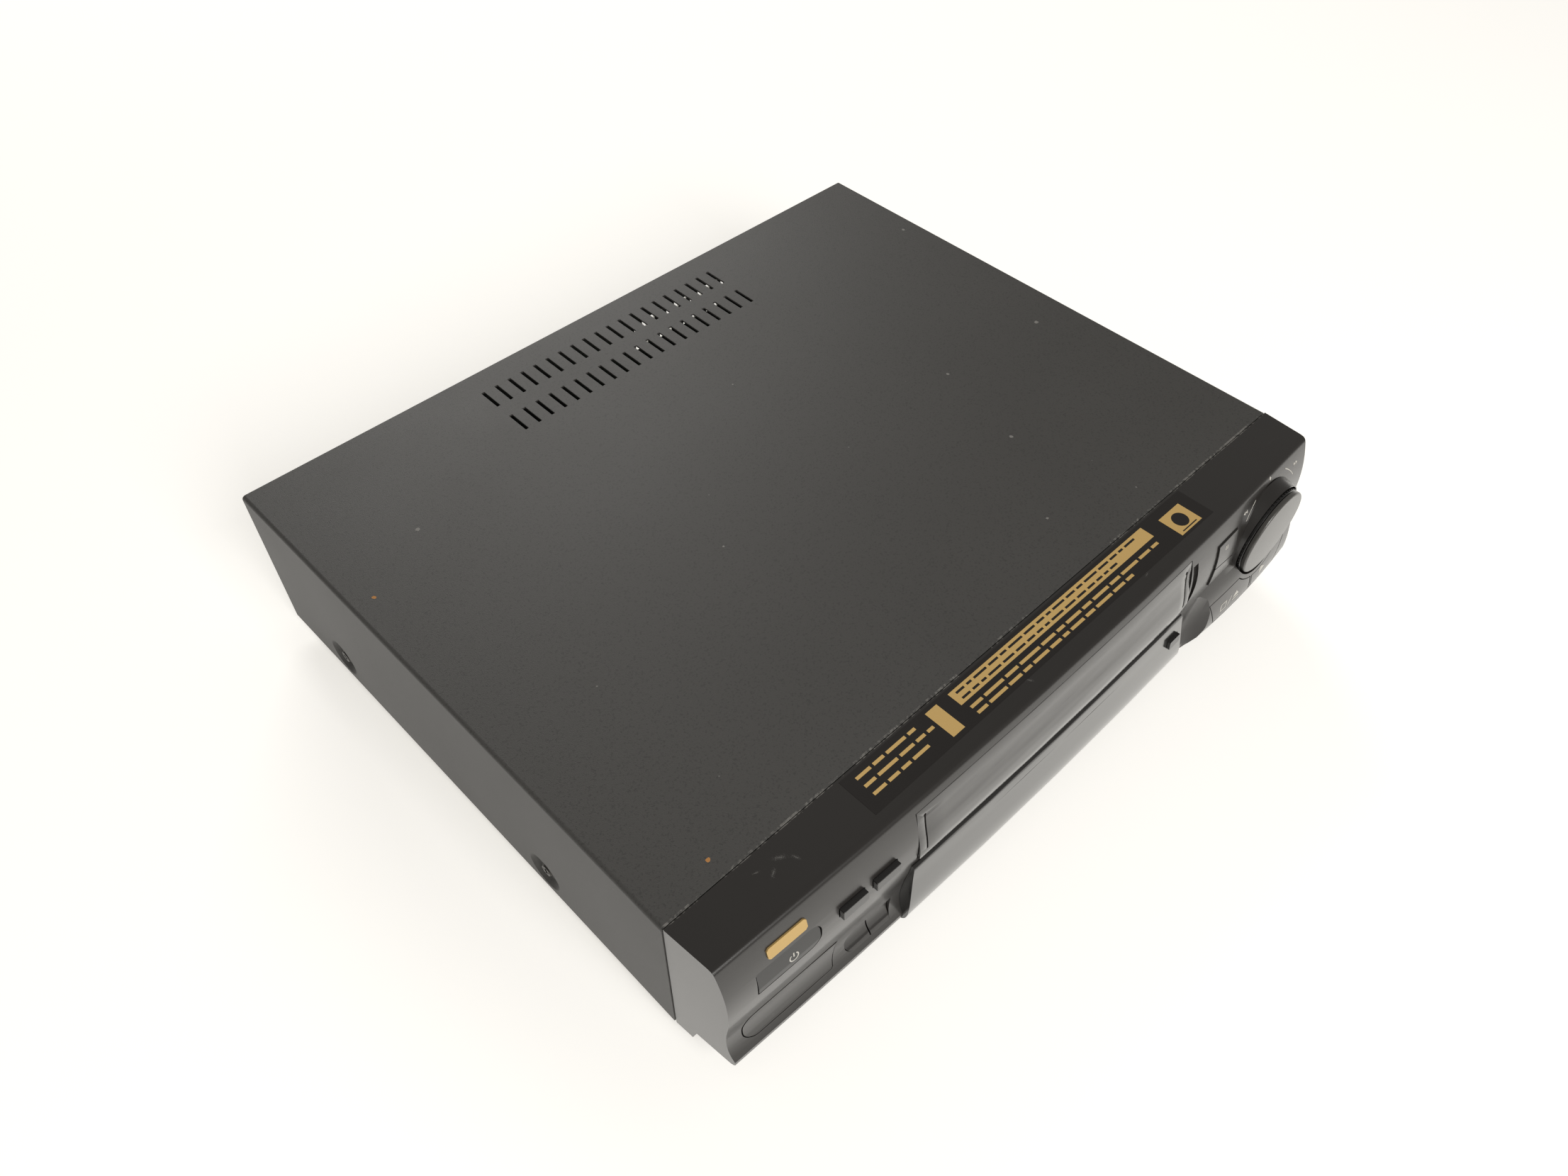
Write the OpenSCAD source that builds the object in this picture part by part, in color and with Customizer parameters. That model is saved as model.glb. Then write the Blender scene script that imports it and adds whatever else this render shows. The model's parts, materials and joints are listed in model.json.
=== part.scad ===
// Front-loading video cassette recorder, built as an assembly.
// X runs across the front to the right, Y from the front to the back, Z up from the floor.
// Shapes are drawn from the seam between front panel and sheet cover, then moved to the centre of the footprint.

/* [Case] */
// Overall width over the sheet cover
case_w = 400; // [396:1:430]
// Overall height from the floor to the top of the cover
case_h = 94; // [94:1:110]
// Depth of the sheet cover behind the seam
cover_d = 297; // [297:1:330]
// Height of the lower edge of the cover above the floor
cover_z = 9; // [8:0.5:10]
// Thickness of the cover sheet
cover_t = 1; // [0.8:0.1:1.2]
// Radius of the folded top edges of the cover
fold_r = 2; // [1.5:0.5:3]
// Thickness of the base and rear sheets
sheet_t = 1.2; // [1:0.1:1.4]
// Diameter of a foot
foot_d = 26; // [22:1:30]

/* [Cover vents and screws] */
// Number of slots in each vent row
vent_count = 20; // [12:1:22]
// Distance between neighbouring vent slots
vent_pitch = 8; // [6:0.5:9]
// Length of a vent slot
vent_l = 13.8; // [10:0.2:16]
// Width of a vent slot
vent_w = 1.8; // [1.5:0.1:2.5]
// Distance from the seam to the middle of the front vent row
vent_y = 251.5; // [245:0.5:255]
// Distance between the two vent rows
vent_gap = 23.5; // [20:0.5:28]
// Diameter of a pressed screw recess in the side
dimple_d = 20; // [16:1:22]
// Depth of a pressed screw recess
dimple_depth = 2.5; // [1.5:0.25:3]
// Distance from the seam to the front screw recess
dimple_front_y = 83.5; // [70:0.5:100]
// Distance from the seam to the rear screw recess
dimple_rear_y = 244.5; // [225:0.5:255]
// Height of the screw recesses above the floor
dimple_z = 21.5; // [21:0.5:24]

/* [Front panel] */
// Wall thickness of the moulded panel
wall = 2.4; // [2:0.1:2.8]
// How far the middle of the front bows out past its ends
bow = 5; // [3:0.5:6]
// How far each side of the panel draws in for each millimetre forward
draft = 0.075; // [0.04:0.005:0.1]
// Step from the side of the cover to the side of the panel
side_step = 0.5; // [0.3:0.1:1]
// Gap at the seam between panel and cover
seam_gap = 0.4; // [0.3:0.1:0.8]
// Height of the underside of the panel's nose
chin_z = 17.5; // [16:0.5:19]
// Height of the lower edge of the skirt behind the nose
skirt_z = 7.5; // [6:0.5:8]
// How far the transport pod reaches forward of the seam
pod_reach = 41; // [40.5:0.5:44]
// Height of the upper edge of the transport pod's face
pod_top = 45; // [44:0.5:46]
// Depth of the display lens in front of the panel at its lower edge
lens_reach = 2.4; // [1.5:0.2:3.2]
// Wall thickness of the display lens
lens_t = 2; // [1.6:0.2:2.6]

/* [Buttons] */
// Gap round a button in its hole
button_gap = 0.35; // [0.25:0.05:0.5]
// Travel of a push button
button_travel = 1.2; // [0.8:0.1:1.5]
// How far the bar buttons stand out
bar_proud = 2.4; // [1.5:0.1:3]
// Length of a bar button
bar_l = 14; // [12:0.5:16]
// Height of a bar button
bar_h = 6.4; // [5:0.2:7]
// Radius of the dial's face
dial_r = 23; // [20:0.2:23.2]
// Distance from the right side of the case to the dial's axis
dial_side = 38.5; // [38:0.5:44]
// Height of the dial's axis above the floor
dial_z = 63; // [61:0.5:64]
// How far the dial's face lies in front of the seam
dial_reach = 39.8; // [38:0.2:40.4]

/* [Cassette path] */
// Width of a cassette
cassette_w = 188; // [187:0.5:189]
// Height of a cassette
cassette_h = 25; // [24.8:0.1:25.2]
// Offset of the cassette slot from the middle of the case
slot_x = -3.8; // [-8:0.2:4]
// Height at which the cassette's underside enters
entry_z = 59.4; // [59.4:0.1:59.8]
// Distance that the carriage travels to the rear
carriage_travel = 48; // [40:1:50]
// Distance that the carrier drops onto the reels
carrier_drop = 19.4; // [16:0.2:19.6]
// Depth of the cassette carrier
carrier_d = 89; // [86:1:90]

/* [Tape mechanism] */
// Underside of the deck plate above the floor
deck_z = 31; // [30:0.5:31.5]
// Thickness of the deck plate
deck_t = 1.4; // [1.2:0.1:1.6]
// Diameter of the head drum
drum_d = 62; // [60:1:64]
// Tilt of the head drum
drum_tilt = 6; // [5:0.5:7]
// Distance from the seam to the drum's centre
drum_y = 187; // [186:1:190]
// Distance between the two reel spindles
reel_pitch = 92; // [91:0.5:93]
// Distance from the seam to the reel spindles
reel_y = 84; // [83:0.5:85]
// Radial clearance of shafts in their bearings
shaft_gap = 0.05; // [0.03:0.01:0.08]
// Thickness of the circuit boards
board_t = 1.6; // [1.2:0.2:2]

/* [Hidden] */

panel_black = "#2b2a28";
cover_black = "#373634";
button_black = "#1f1f1e";
steel = "#b9bcc0";
zinc = "#a8a99f";
board_green = "#2f5b34";
nylon = "#e6e2d6";
resin = "#20211f";

total_d = pod_reach + cover_d;
seam_y = pod_reach - total_d / 2;
half_w = case_w / 2;
far = 60;
clear = 0.3;
inner_top = case_h - cover_t;
panel_rear = -seam_gap + cover_t / 10;
bow_r = (half_w * half_w + bow * bow) / (2 * bow);
bow_turn = 2 * asin((half_w + 5) / bow_r);
pod_r = 500;
pod_x = half_w - 60;
pod_left = pod_x - 36;
dial_x = half_w - dial_side;

slot_w = cassette_w + 1.6;
slot_lo = slot_x - slot_w / 2;
slot_hi = slot_x + slot_w / 2;
slot_bottom = entry_z - 0.2;
hinge_y = -28.4;
hinge_z = entry_z + cassette_h + 3.2;
slot_top = hinge_z + 1.4;
pin_r = 1;
board_y = -9;
switch_d = 4.6;
flange_y = -23;
flange_w = 0.6;
key_proud = 1.6;

deck_top = deck_z + deck_t;
deck_lo = slot_x - 106;
deck_hi = slot_x + 106;
deck_rear = drum_y + drum_d / 2 + 4;
base_z = cover_z + 0.6;
base_top = base_z + sheet_t;
flange_x = half_w - cover_t - dimple_depth - clear;
rear_y = cover_d - 4;
main_z = base_top + 5.2;
main_top = main_z + board_t;

// Points of a cubic curve through p[0] and p[3]
function curve(p, steps) = [for (i = [0:steps]) let (t = i / steps)
  (1 - t) ^ 3 * p[0] + 3 * (1 - t) ^ 2 * t * p[1] + 3 * (1 - t) * t ^ 2 * p[2] + t ^ 3 * p[3]];
// How far the skin at x lies behind the ends of the front
function bow_y(x) = -bow + bow * pow(x / half_w, 2);
// Points of an arc from angle a to angle b
function arc(c, r, a, b, steps) = [for (i = [0:steps]) let (t = a + (b - a) * i / steps)
  [c[0] + r * cos(t), c[1] + r * sin(t)]];
// Outline of a spur gear with straight-sided teeth of one millimetre module
function gear_points(teeth, turn) = let (r = teeth / 2, step = 360 / teeth)
  [for (i = [0:teeth - 1], k = [[-0.36, -1.15], [-0.2, 0], [-0.1, 0.85], [0.1, 0.85], [0.2, 0], [0.36, -1.15]])
    let (a = turn + (i + k[0]) * step) [(r + k[1]) * cos(a), (r + k[1]) * sin(a)]];

module from_seam() { translate([0, seam_y, 0]) children(); }
module block(x, y, z) {
  translate([x[0], y[0], z[0]]) cube([x[1] - x[0], y[1] - y[0], z[1] - z[0]]);
}
module post(at, z, r) {
  translate([at[0], at[1], z[0]]) cylinder(h = z[1] - z[0], r = r, $fn = 48);
}
module cone(at, z, r) {
  translate([at[0], at[1], z[0]]) cylinder(h = z[1] - z[0], r1 = r[0], r2 = r[1], $fn = 48);
}
module rod_x(x, at, r) {
  translate([x[0], at[0], at[1]]) rotate([0, 90, 0]) cylinder(h = x[1] - x[0], r = r, $fn = 48);
}
module rod_y(at, y, r) {
  translate([at[0], y[0], at[1]]) rotate([-90, 0, 0]) cylinder(h = y[1] - y[0], r = r, $fn = 48);
}
module cone_y(at, y, r) {
  translate([at[0], y[0], at[1]]) rotate([-90, 0, 0])
    cylinder(h = y[1] - y[0], r1 = r[0], r2 = r[1], $fn = 64);
}
// Stands a front view outline up and gives it depth from y[0] to y[1]
module through_y(y) {
  translate([0, y[1], 0]) rotate([90, 0, 0]) linear_extrude(height = y[1] - y[0]) children();
}
// Stands a side view outline up and gives it width from x[0] to x[1]
module through_x(x) {
  translate([x[0], 0, 0]) rotate([90, 0, 90]) linear_extrude(height = x[1] - x[0]) children();
}
module ring(at, z, r) {
  difference() {
    post(at, z, r[1]);
    post(at, [z[0] - 1, z[1] + 1], r[0]);
  }
}
module flat_box(x, z) { translate([x[0], z[0]]) square([x[1] - x[0], z[1] - z[0]]); }
// Rectangle set in by g, with its own corner radius at the left and at the right
module soft_box(x, z, rl, rr, g) {
  a = max(rl - g, 0.1);
  b = max(rr - g, 0.1);
  lo = [x[0] + g, z[0] + g];
  hi = [x[1] - g, z[1] - g];
  polygon(concat(arc([lo[0] + a, hi[1] - a], a, 90, 180, 6), arc([lo[0] + a, lo[1] + a], a, 180, 270, 6),
    arc([hi[0] - b, lo[1] + b], b, 270, 360, 6), arc([hi[0] - b, hi[1] - b], b, 0, 90, 6)));
}
// The points of an anticlockwise outline, each side moved in by g
function inset(p, g) = let (n = len(p)) [for (i = [0:n - 1])
  let (u = p[i] - p[(i + n - 1) % n], v = p[(i + 1) % n] - p[i], a = u / norm(u), b = v / norm(v))
  p[i] + g * [-a[1] - b[1], a[0] + b[0]] / (1 + a * b)];

// Side view of the front panel at its ends, set in by s behind the outer skin
function panel_outline(s) = concat(
  [[8, case_h - s]],
  curve([[-21.5, case_h - s], [-23.6 + s / 2, case_h - s], [-24.4 + s, case_h - 1 - s / 2],
    [-25 + s, case_h - 2.5 - s / 4]], 3),
  curve([[-25 + s, case_h - 2.5 - s / 4], [-28.6 + s, 82], [-30.5 + s, 73], [-30.4 + s, 61]], 8),
  curve([[-30.4 + s, 61], [-30.3 + s, 50], [-28.6 + s, 46], [-28.6 + s, 38]], 6),
  curve([[-28.6 + s, 38], [-28.6 + s, 30], [-30.2 + s, chin_z + 8], [-32.8 + s, chin_z + 5 + s / 4]], 5),
  curve([[-32.8 + s, chin_z + 5 + s / 4], [-33.6 + s, chin_z + 2 + s], [-31.6 + s, chin_z + s],
    [-28.5 + s / 2, chin_z + s]], 4),
  [[-12 + s / 2, chin_z - 1.5 + s], [-9.5 + s, skirt_z + s], [8, skirt_z + s]]);
// Turns a side view outline into the bowed form of the front
module bowed(outline) {
  translate([0, bow_r - bow, 0]) rotate([0, 0, -90 - bow_turn / 2])
    rotate_extrude(angle = bow_turn, $fn = 256)
      polygon([for (p = outline) [bow_r - p[0], p[1]]]);
}
module panel_plan(s, rear) {
  side = half_w - side_step - s;
  polygon([[-side, rear], [-side + draft * far, -far], [side - draft * far, -far], [side, rear]]);
}
// The whole mass of the front, without its openings, set in by s
module panel_mass(s, rear) {
  intersection() {
    bowed(panel_outline(s));
    linear_extrude(height = case_h + 5) panel_plan(s, rear);
  }
}
// Side view of the transport pod at its fullest point, set in by s
function pod_outline(s) = concat(
  [[-15, chin_z + s]],
  curve([[-33 + s, chin_z + s], [-pod_reach + 3.5 + s, chin_z + s], [-pod_reach + s, chin_z + 4],
    [-pod_reach + s, chin_z + 9.5]], 4),
  curve([[-pod_reach + s, chin_z + 9.5], [-pod_reach + s, chin_z + 16], [-pod_reach + 1.2 + s, pod_top - 6],
    [-pod_reach + 2.4 + s, pod_top]], 5),
  curve([[-pod_reach + 2.4 + s, pod_top], [-pod_reach + 3.4 + s, pod_top + 5], [-pod_reach + 6 + s, pod_top + 7],
    [-pod_reach + 10 + s, pod_top + 15]], 5),
  [[-15, pod_top + 15]]);
// Where the pod grows out of the panel: start, reach there and turn of each face of the scoop
scoop = [[pod_left, -0.3, 12], [pod_left + 5, 0.8, 30], [pod_left + 9.5, 3.4, 50]];
function scoop_outline(s) = [[200, 62], [-30.4 + s, 62], [-29.5 + s, 48.4], [-28.6 + s, 38], [-29.7 + s, 28.4],
  [-32.8 + s, 22.5], [-33.2 + s, 19.5], [-31.5 + s, 16.5], [200, 15]];
module pod_mass(s) {
  intersection() {
    translate([pod_x, pod_r, 0]) rotate([0, 0, -98])
      rotate_extrude(angle = 16, $fn = 256) polygon([for (p = pod_outline(s)) [pod_r - p[0], p[1]]]);
    linear_extrude(height = case_h)
      polygon([[pod_left + s, -far], [half_w - side_step - s - draft * far, -far],
        [half_w - side_step - s, 0], [pod_left + s, 0]]);
    union() {
      for (f = scoop)
        translate([f[0], bow_y(f[0]) - 30 - f[1], 0]) rotate([0, 0, -f[2]]) translate([0, 30, 0])
          through_x([-8, 160]) polygon(scoop_outline(s));
    }
  }
}
module front_mass(s, rear) {
  panel_mass(s, rear);
  pod_mass(s);
}

bar_z = 71.4;
bar_left_x = -half_w + 64.8;
bar_right_x = -half_w + 82.6;
twin_x = [-half_w + 64.3, -half_w + 91.2];
twin_mid = twin_x[0] + 13.7;
twin_z = [25, 37.5];
lens_x = [slot_lo - 2.2, slot_hi - 1];
lens_z = [chin_z + 0.5, 56.4];
lens_flare = [4, 8];
key_x = [slot_hi - 11.2, slot_hi - 2];
key_z = [41, 46.5];
stack_x = [dial_x - 49, dial_x - 30.5];
stack_z = [58, 82.3];
stack_split = [69, 66.5];
well_r = dial_r + 1.2;
collar_reach = 35;
well_floor = 24;
spindle_r = 4;
lens_rim = 2.2;
lens_points = [[lens_x[0], lens_z[1]], [lens_x[0] - lens_flare[0], lens_z[0]],
  [lens_x[1] + lens_flare[1], lens_z[0]], [lens_x[1], lens_z[1]]];
module power_outline(g) { soft_box([-half_w + 17, -half_w + 49], [62, 77], 1, 6, g); }
module set_outline(g) {
  polygon(inset(concat(arc([-half_w + 17, 36], 7, 90, 180, 6), arc([-half_w + 17, 32.5], 7, 180, 270, 6),
    [[-half_w + 56, 25.5], [-half_w + 57, 26.3], [-half_w + 60, 43]]), g));
}
module bar_outline(x, g) {
  soft_box([x - bar_l / 2, x + bar_l / 2], [bar_z - bar_h / 2, bar_z + bar_h / 2], 1, 1, g);
}
module twin_left_outline(g) { soft_box([twin_x[0], twin_mid], twin_z, 5, 0.2, g); }
module twin_right_outline(g) {
  polygon(inset([[twin_mid, twin_z[1]], [twin_mid, twin_z[0]], [twin_x[1] - 2, twin_z[0]],
    [twin_x[1], twin_z[1]]], g));
}
module key_outline(g) { soft_box(key_x, key_z, 0.8, 0.8, g); }
module pause_outline(g) {
  polygon(inset([[stack_x[0] + 1.5, stack_z[1]], [stack_x[0] + 0.7, stack_split[0]], [stack_x[1], stack_split[1]],
    [stack_x[1] + 0.3, stack_z[1] + 0.5]], g));
}
module record_outline(g) {
  polygon(inset([[stack_x[0] + 0.7, stack_split[0]], [stack_x[0], stack_z[0]], [stack_x[1] - 0.3, stack_z[0]],
    [stack_x[1], stack_split[1]]], g));
}
module stop_outline(g) {
  difference() {
    polygon(inset([[dial_x - 45.5, pod_top - 1.7], [dial_x - 37, 25], [dial_x - 3.7, 25],
      [dial_x - 8.3, pod_top]], g));
    translate([dial_x, dial_z]) circle(r = well_r + 2.4 + g, $fn = 96);
  }
}
module play_outline(g) {
  difference() {
    polygon(inset([[dial_x - 7.5, pod_top], [dial_x - 2.7, 25], [dial_x + 20, 25], [dial_x + 27.5, 42],
      [dial_x + 8.5, 40.5]], g));
    translate([dial_x, dial_z]) circle(r = well_r + 2.4 + g, $fn = 96);
  }
}
module slot_outline() { flat_box([slot_lo, slot_hi], [slot_bottom, slot_top]); }
module crescent_outline() {
  polygon(concat(curve([[slot_hi + 5.2, 84.5], [slot_hi + 6, 76], [slot_hi + 7, 63], [slot_hi + 1.2, 58.8]], 8),
    curve([[slot_hi + 1.2, 58.8], [slot_hi + 1.6, 68], [slot_hi + 1.7, 78], [slot_hi + 1, 84.5]], 6)));
}

module front_panel() {
  color(panel_black) from_seam() difference() {
    union() {
      difference() {
        front_mass(0, panel_rear);
        front_mass(wall, 2);
      }
      intersection() {
        front_mass(0.4, -1);
        union() {
          block([slot_lo - 2, slot_lo + 1], [-far, 0], [slot_bottom - 2, case_h]);
          block([slot_hi - 1, slot_hi + 2], [-far, 0], [slot_bottom - 2, case_h]);
          block([slot_lo - 2, slot_hi + 2], [-far, 0], [slot_bottom - 2, slot_bottom + 1]);
          rod_y([dial_x, dial_z], [-far, -well_floor + 2], well_r + 1.6);
        }
      }
      cone_y([dial_x, dial_z], [-collar_reach, -28], [well_r + 0.5, well_r + 1.9]);
      panel_lip();
      panel_bosses();
    }
    through_y([-far, 1]) slot_outline();
    through_y([-far, -20]) {
      power_outline(0);
      set_outline(0);
      bar_outline(bar_left_x, 0);
      bar_outline(bar_right_x, 0);
      twin_left_outline(0);
      twin_right_outline(0);
      pause_outline(0);
      record_outline(0);
      stop_outline(0);
      play_outline(0);
      polygon(inset(lens_points, lens_rim));
    }
    dial_well();
    rod_x([slot_lo - 3, slot_hi + 3], [hinge_y, hinge_z], pin_r + shaft_gap);
    intersection() {
      through_y([-far, -20]) crescent_outline();
      difference() {
        panel_mass(-1, 0);
        panel_mass(1.4, 1);
      }
    }
  }
}
// The round well of the dial with the bore of the dial's spindle
module dial_well() {
  bore = spindle_r + shaft_gap;
  translate([dial_x, 0, dial_z]) rotate([90, 0, 0]) rotate_extrude($fn = 96)
    polygon([[0, 0], [bore, 0], [bore, well_floor], [well_r, well_floor], [well_r, far], [0, far]]);
}
// Rabbet behind the seam that slips under the cover
module panel_lip() {
  x = half_w - cover_t - clear;
  z = inner_top - clear;
  block([-x + 4, x - 4], [-4, 5], [z - 1.6, z]);
  for (side = [-1, 1]) {
    block([side * (x - 0.8) - 0.8, side * (x - 0.8) + 0.8], [-4, 5], [40, 74]);
  }
}
// Screw bosses for the front board
function panel_screws() = [[-half_w + 8, 54], [-half_w + 96, 44], [half_w - 98, 43], [half_w - 9, 72]];
module panel_bosses() {
  for (at = panel_screws()) {
    intersection() {
      panel_mass(0.4, -1);
      difference() {
        rod_y(at, [-far, board_y - clear / 3], 3);
        rod_y(at, [-18, 0], 1.2);
      }
    }
  }
}

module display_lens() {
  color(resin, 0.9) from_seam() difference() {
    lens_form(0);
    lens_form(lens_t);
    difference() {
      panel_mass(-0.1, 1);
      through_y([-far, 0]) polygon(inset(lens_points, lens_rim + 0.2));
    }
    block([-half_w, half_w], [-26, 0], [0, case_h]);
    through_y([-far, 0]) key_outline(0);
  }
}
// Side view of the lens, set in by s
function lens_outline(s) = concat(
  [[-20, lens_z[1] - s]],
  curve([[-30.2 + s, lens_z[1] - s], [-31.4 + s, lens_z[1] - s], [-31.9 + s, lens_z[1] - 0.6 - s],
    [-32.1 + s, lens_z[1] - 1.8 - s]], 3),
  curve([[-32.1 + s, lens_z[1] - 1.8 - s], [-33.2 + s, 42], [-32.8 - lens_reach + s, 33],
    [-32.8 - lens_reach + s, lens_z[0] + 7]], 7),
  curve([[-32.8 - lens_reach + s, lens_z[0] + 7], [-32.6 - lens_reach + s, lens_z[0] + 3 + s],
    [-31.4 - lens_reach + s, lens_z[0] + s], [-29 + s, lens_z[0] + s]], 5),
  [[-20, lens_z[0] + s]]);
module lens_form(s) {
  intersection() {
    bowed(lens_outline(s));
    through_y([-far, -20]) polygon(inset(lens_points, s > 0 ? s : -0.01));
  }
}
module display_module() {
  x = [slot_x - 66, slot_x + 44];
  color("#0e1a16") from_seam() union() {
    difference() {
      block(x, [-23, board_y], [25, 51]);
      block([x[0] + 3, x[1] - 3], [-24, -20], [28, 48]);
    }
    block([x[0] + 5, x[1] - 5], [-22, -19], [30, 46]);
    rod_x([x[1], x[1] + 7], [-17, 38], 2.4);
  }
}
module front_board() {
  x = half_w - 7;
  plunger = [board_y - switch_d, board_y - switch_d + 1.2];
  color(board_green) from_seam() {
    difference() {
      union() {
        through_y([board_y, board_y + board_t])
          polygon([[-x, 20], [x, 20], [x, 88], [slot_hi + 5, 88], [slot_hi + 5, slot_bottom - 4],
            [slot_lo - 5, slot_bottom - 4], [slot_lo - 5, 88], [-x, 88]]);
        for (at = switch_places()) {
          block([at[0] - 3, at[0] + 3], [board_y - switch_d + 1.2, board_y], [at[1] - 3, at[1] + 3]);
          rod_y(at, plunger, 1.6);
        }
        block([dial_x - 9, dial_x + 9], [board_y - 3, board_y], [dial_z - 9, dial_z + 9]);
      }
      for (at = panel_screws()) rod_y(at, [board_y - 1, board_y + 3], 1.6);
    }
  }
}
function switch_places() = [[-half_w + 33, 69.5], [-half_w + 33, 34], [bar_left_x, bar_z], [bar_right_x, bar_z],
  [twin_x[0] + 7, 31.2], [twin_mid + 6.5, 31.2], [(key_x[0] + key_x[1]) / 2, 44],
  [(stack_x[0] + stack_x[1]) / 2, 75], [(stack_x[0] + stack_x[1]) / 2, 62.5],
  [dial_x - 25.5, 34], [dial_x + 6.5, 33]];

// Moves to the skin at x and turns along the bow there
module at_bow(x) {
  translate([x, bow_y(x), 0]) rotate([0, 0, atan(2 * bow * x / pow(half_w, 2))])
    children();
}
// A push button: the cap in its hole, a retaining flange behind the skin, a stem towards its switch
module button(proud, x, place) {
  stem_end = board_y - switch_d - button_travel - clear;
  from_seam() union() {
    intersection() {
      at_bow(x) through_x([-far, far]) polygon(panel_outline(-proud));
      through_y([-far, flange_y]) children(0);
    }
    intersection() {
      at_bow(x) through_x([-far, far]) polygon(panel_outline(wall + clear));
      through_y([-far, flange_y]) children(1);
    }
    rod_y(switch_places()[place], [flange_y - 1, stem_end], 1.8);
  }
}
// The same for the two large keys, which follow the pod
module pod_button(proud, place) {
  stem_end = board_y - switch_d - button_travel - clear;
  from_seam() union() {
    intersection() {
      pod_mass(-proud);
      through_y([-far, flange_y]) children(0);
    }
    intersection() {
      pod_mass(wall + clear);
      through_y([-far, flange_y]) children(1);
    }
    rod_y(switch_places()[place], [flange_y - 1, stem_end], 1.8);
  }
}
module power_button() {
  color(button_black) difference() {
    button(0, -half_w + 33, 0) {
      power_outline(button_gap);
      power_outline(-flange_w);
    }
    from_seam() at_bow(-half_w + 33) through_x([-17, 17])
      polygon([[-far, 60.5], [-31.2, 60.5], [-28.4, 78], [-28.4, 90], [-far, 90]]);
  }
}
module set_button() {
  color(panel_black) button(0.1, -half_w + 33, 1) {
    set_outline(button_gap);
    set_outline(-flange_w);
  }
}
module bar_button_left() {
  color(button_black) button(bar_proud, bar_left_x, 2) {
    bar_outline(bar_left_x, button_gap);
    bar_outline(bar_left_x, -flange_w);
  }
}
module bar_button_right() {
  color(button_black) button(bar_proud, bar_right_x, 3) {
    bar_outline(bar_right_x, button_gap);
    bar_outline(bar_right_x, -flange_w);
  }
}
// Shallow scoop across the faces of the twin buttons
module twin_scoop() { at_bow(twin_mid) rod_x([-16, 16], [-37.45, 34], 10); }
module twin_button_left() {
  color(panel_black) difference() {
    button(0.2, twin_mid, 4) {
      twin_left_outline(button_gap / 2);
      soft_box([twin_x[0] - flange_w, twin_mid - button_gap], twin_z, 5, 0.2, 0);
    }
    from_seam() twin_scoop();
  }
}
module twin_button_right() {
  color(panel_black) difference() {
    button(0.2, twin_mid, 5) {
      twin_right_outline(button_gap / 2);
      polygon([[twin_mid + button_gap, twin_z[1]], [twin_mid + button_gap, twin_z[0]],
        [twin_x[1] - 2 + flange_w, twin_z[0]], [twin_x[1] + flange_w, twin_z[1]]]);
    }
    from_seam() twin_scoop();
  }
}
module pause_button() {
  color(panel_black) button(0.8, (stack_x[0] + stack_x[1]) / 2, 7) {
    pause_outline(button_gap / 2);
    polygon([[stack_x[0] + 2, stack_z[1] + flange_w], [stack_x[0] + 2, stack_split[0] + 0.2],
      [stack_x[1] + flange_w, stack_split[1] + 0.2], [stack_x[1] + flange_w, stack_z[1] + 0.5 + flange_w]]);
  }
}
module record_button() {
  color(panel_black) button(0.8, (stack_x[0] + stack_x[1]) / 2, 8) {
    record_outline(button_gap / 2);
    polygon([[stack_x[0] + 2, stack_split[0] - 0.5], [stack_x[0] + 2, stack_z[0] - flange_w],
      [stack_x[1] + flange_w, stack_z[0] - flange_w], [stack_x[1] + flange_w, stack_split[1] - 0.3]]);
  }
}
// The small key that passes through the lens
module display_button() {
  x = (key_x[0] + key_x[1]) / 2;
  back = -31;
  stem_end = board_y - switch_d - button_travel - clear;
  color(button_black) from_seam() union() {
    intersection() {
      at_bow(x) through_x([-far, far]) polygon(lens_outline(-key_proud));
      through_y([-far, back - 2]) key_outline(button_gap);
    }
    at_bow(x) block([key_x[0] - x - 0.4, key_x[1] - x - 0.4], [-30.1, -29], [key_z[0] - 0.6, key_z[1] + 0.2]);
    rod_y(switch_places()[6], [back - 3, stem_end], 1.8);
  }
}
module stop_button() {
  color(panel_black) pod_button(0, 9) {
    stop_outline(button_gap);
    stop_outline(-flange_w / 2);
  }
}
module play_button() {
  color(panel_black) pod_button(0, 10) {
    play_outline(button_gap);
    play_outline(-flange_w / 2);
  }
}

// Slightly crowned disc with a rounded rim
module dial_cap() {
  rim = dial_reach - 0.5;
  color("#3a3936") from_seam() translate([dial_x, 0, dial_z]) rotate([90, 0, 0]) rotate_extrude($fn = 96)
    polygon(concat([[0, dial_reach - 3], [dial_r, dial_reach - 3]], arc([dial_r - 1, rim - 1], 1, 0, 84, 5),
      [[dial_r * 0.6, dial_reach - 0.16], [dial_r * 0.3, dial_reach - 0.04], [0, dial_reach]]));
}
module shuttle_ring() {
  ring_r = well_r - 0.8;
  ribs = 60;
  color(button_black) from_seam() union() {
    cone_y([dial_x, dial_z], [-dial_reach + 3, -dial_reach + 3.6], [ring_r - 1, ring_r - 0.4]);
    rod_y([dial_x, dial_z], [-dial_reach + 3.6, -25.5], ring_r - 0.4);
    for (i = [0:ribs - 1]) {
      translate([dial_x, 0, dial_z]) rotate([0, i * 360 / ribs, 0])
        block([ring_r - 1, ring_r], [-dial_reach + 4, -27], [-0.4, 0.4]);
    }
    rod_y([dial_x, dial_z], [-26, board_y - 3 - clear], spindle_r);
  }
}

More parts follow.
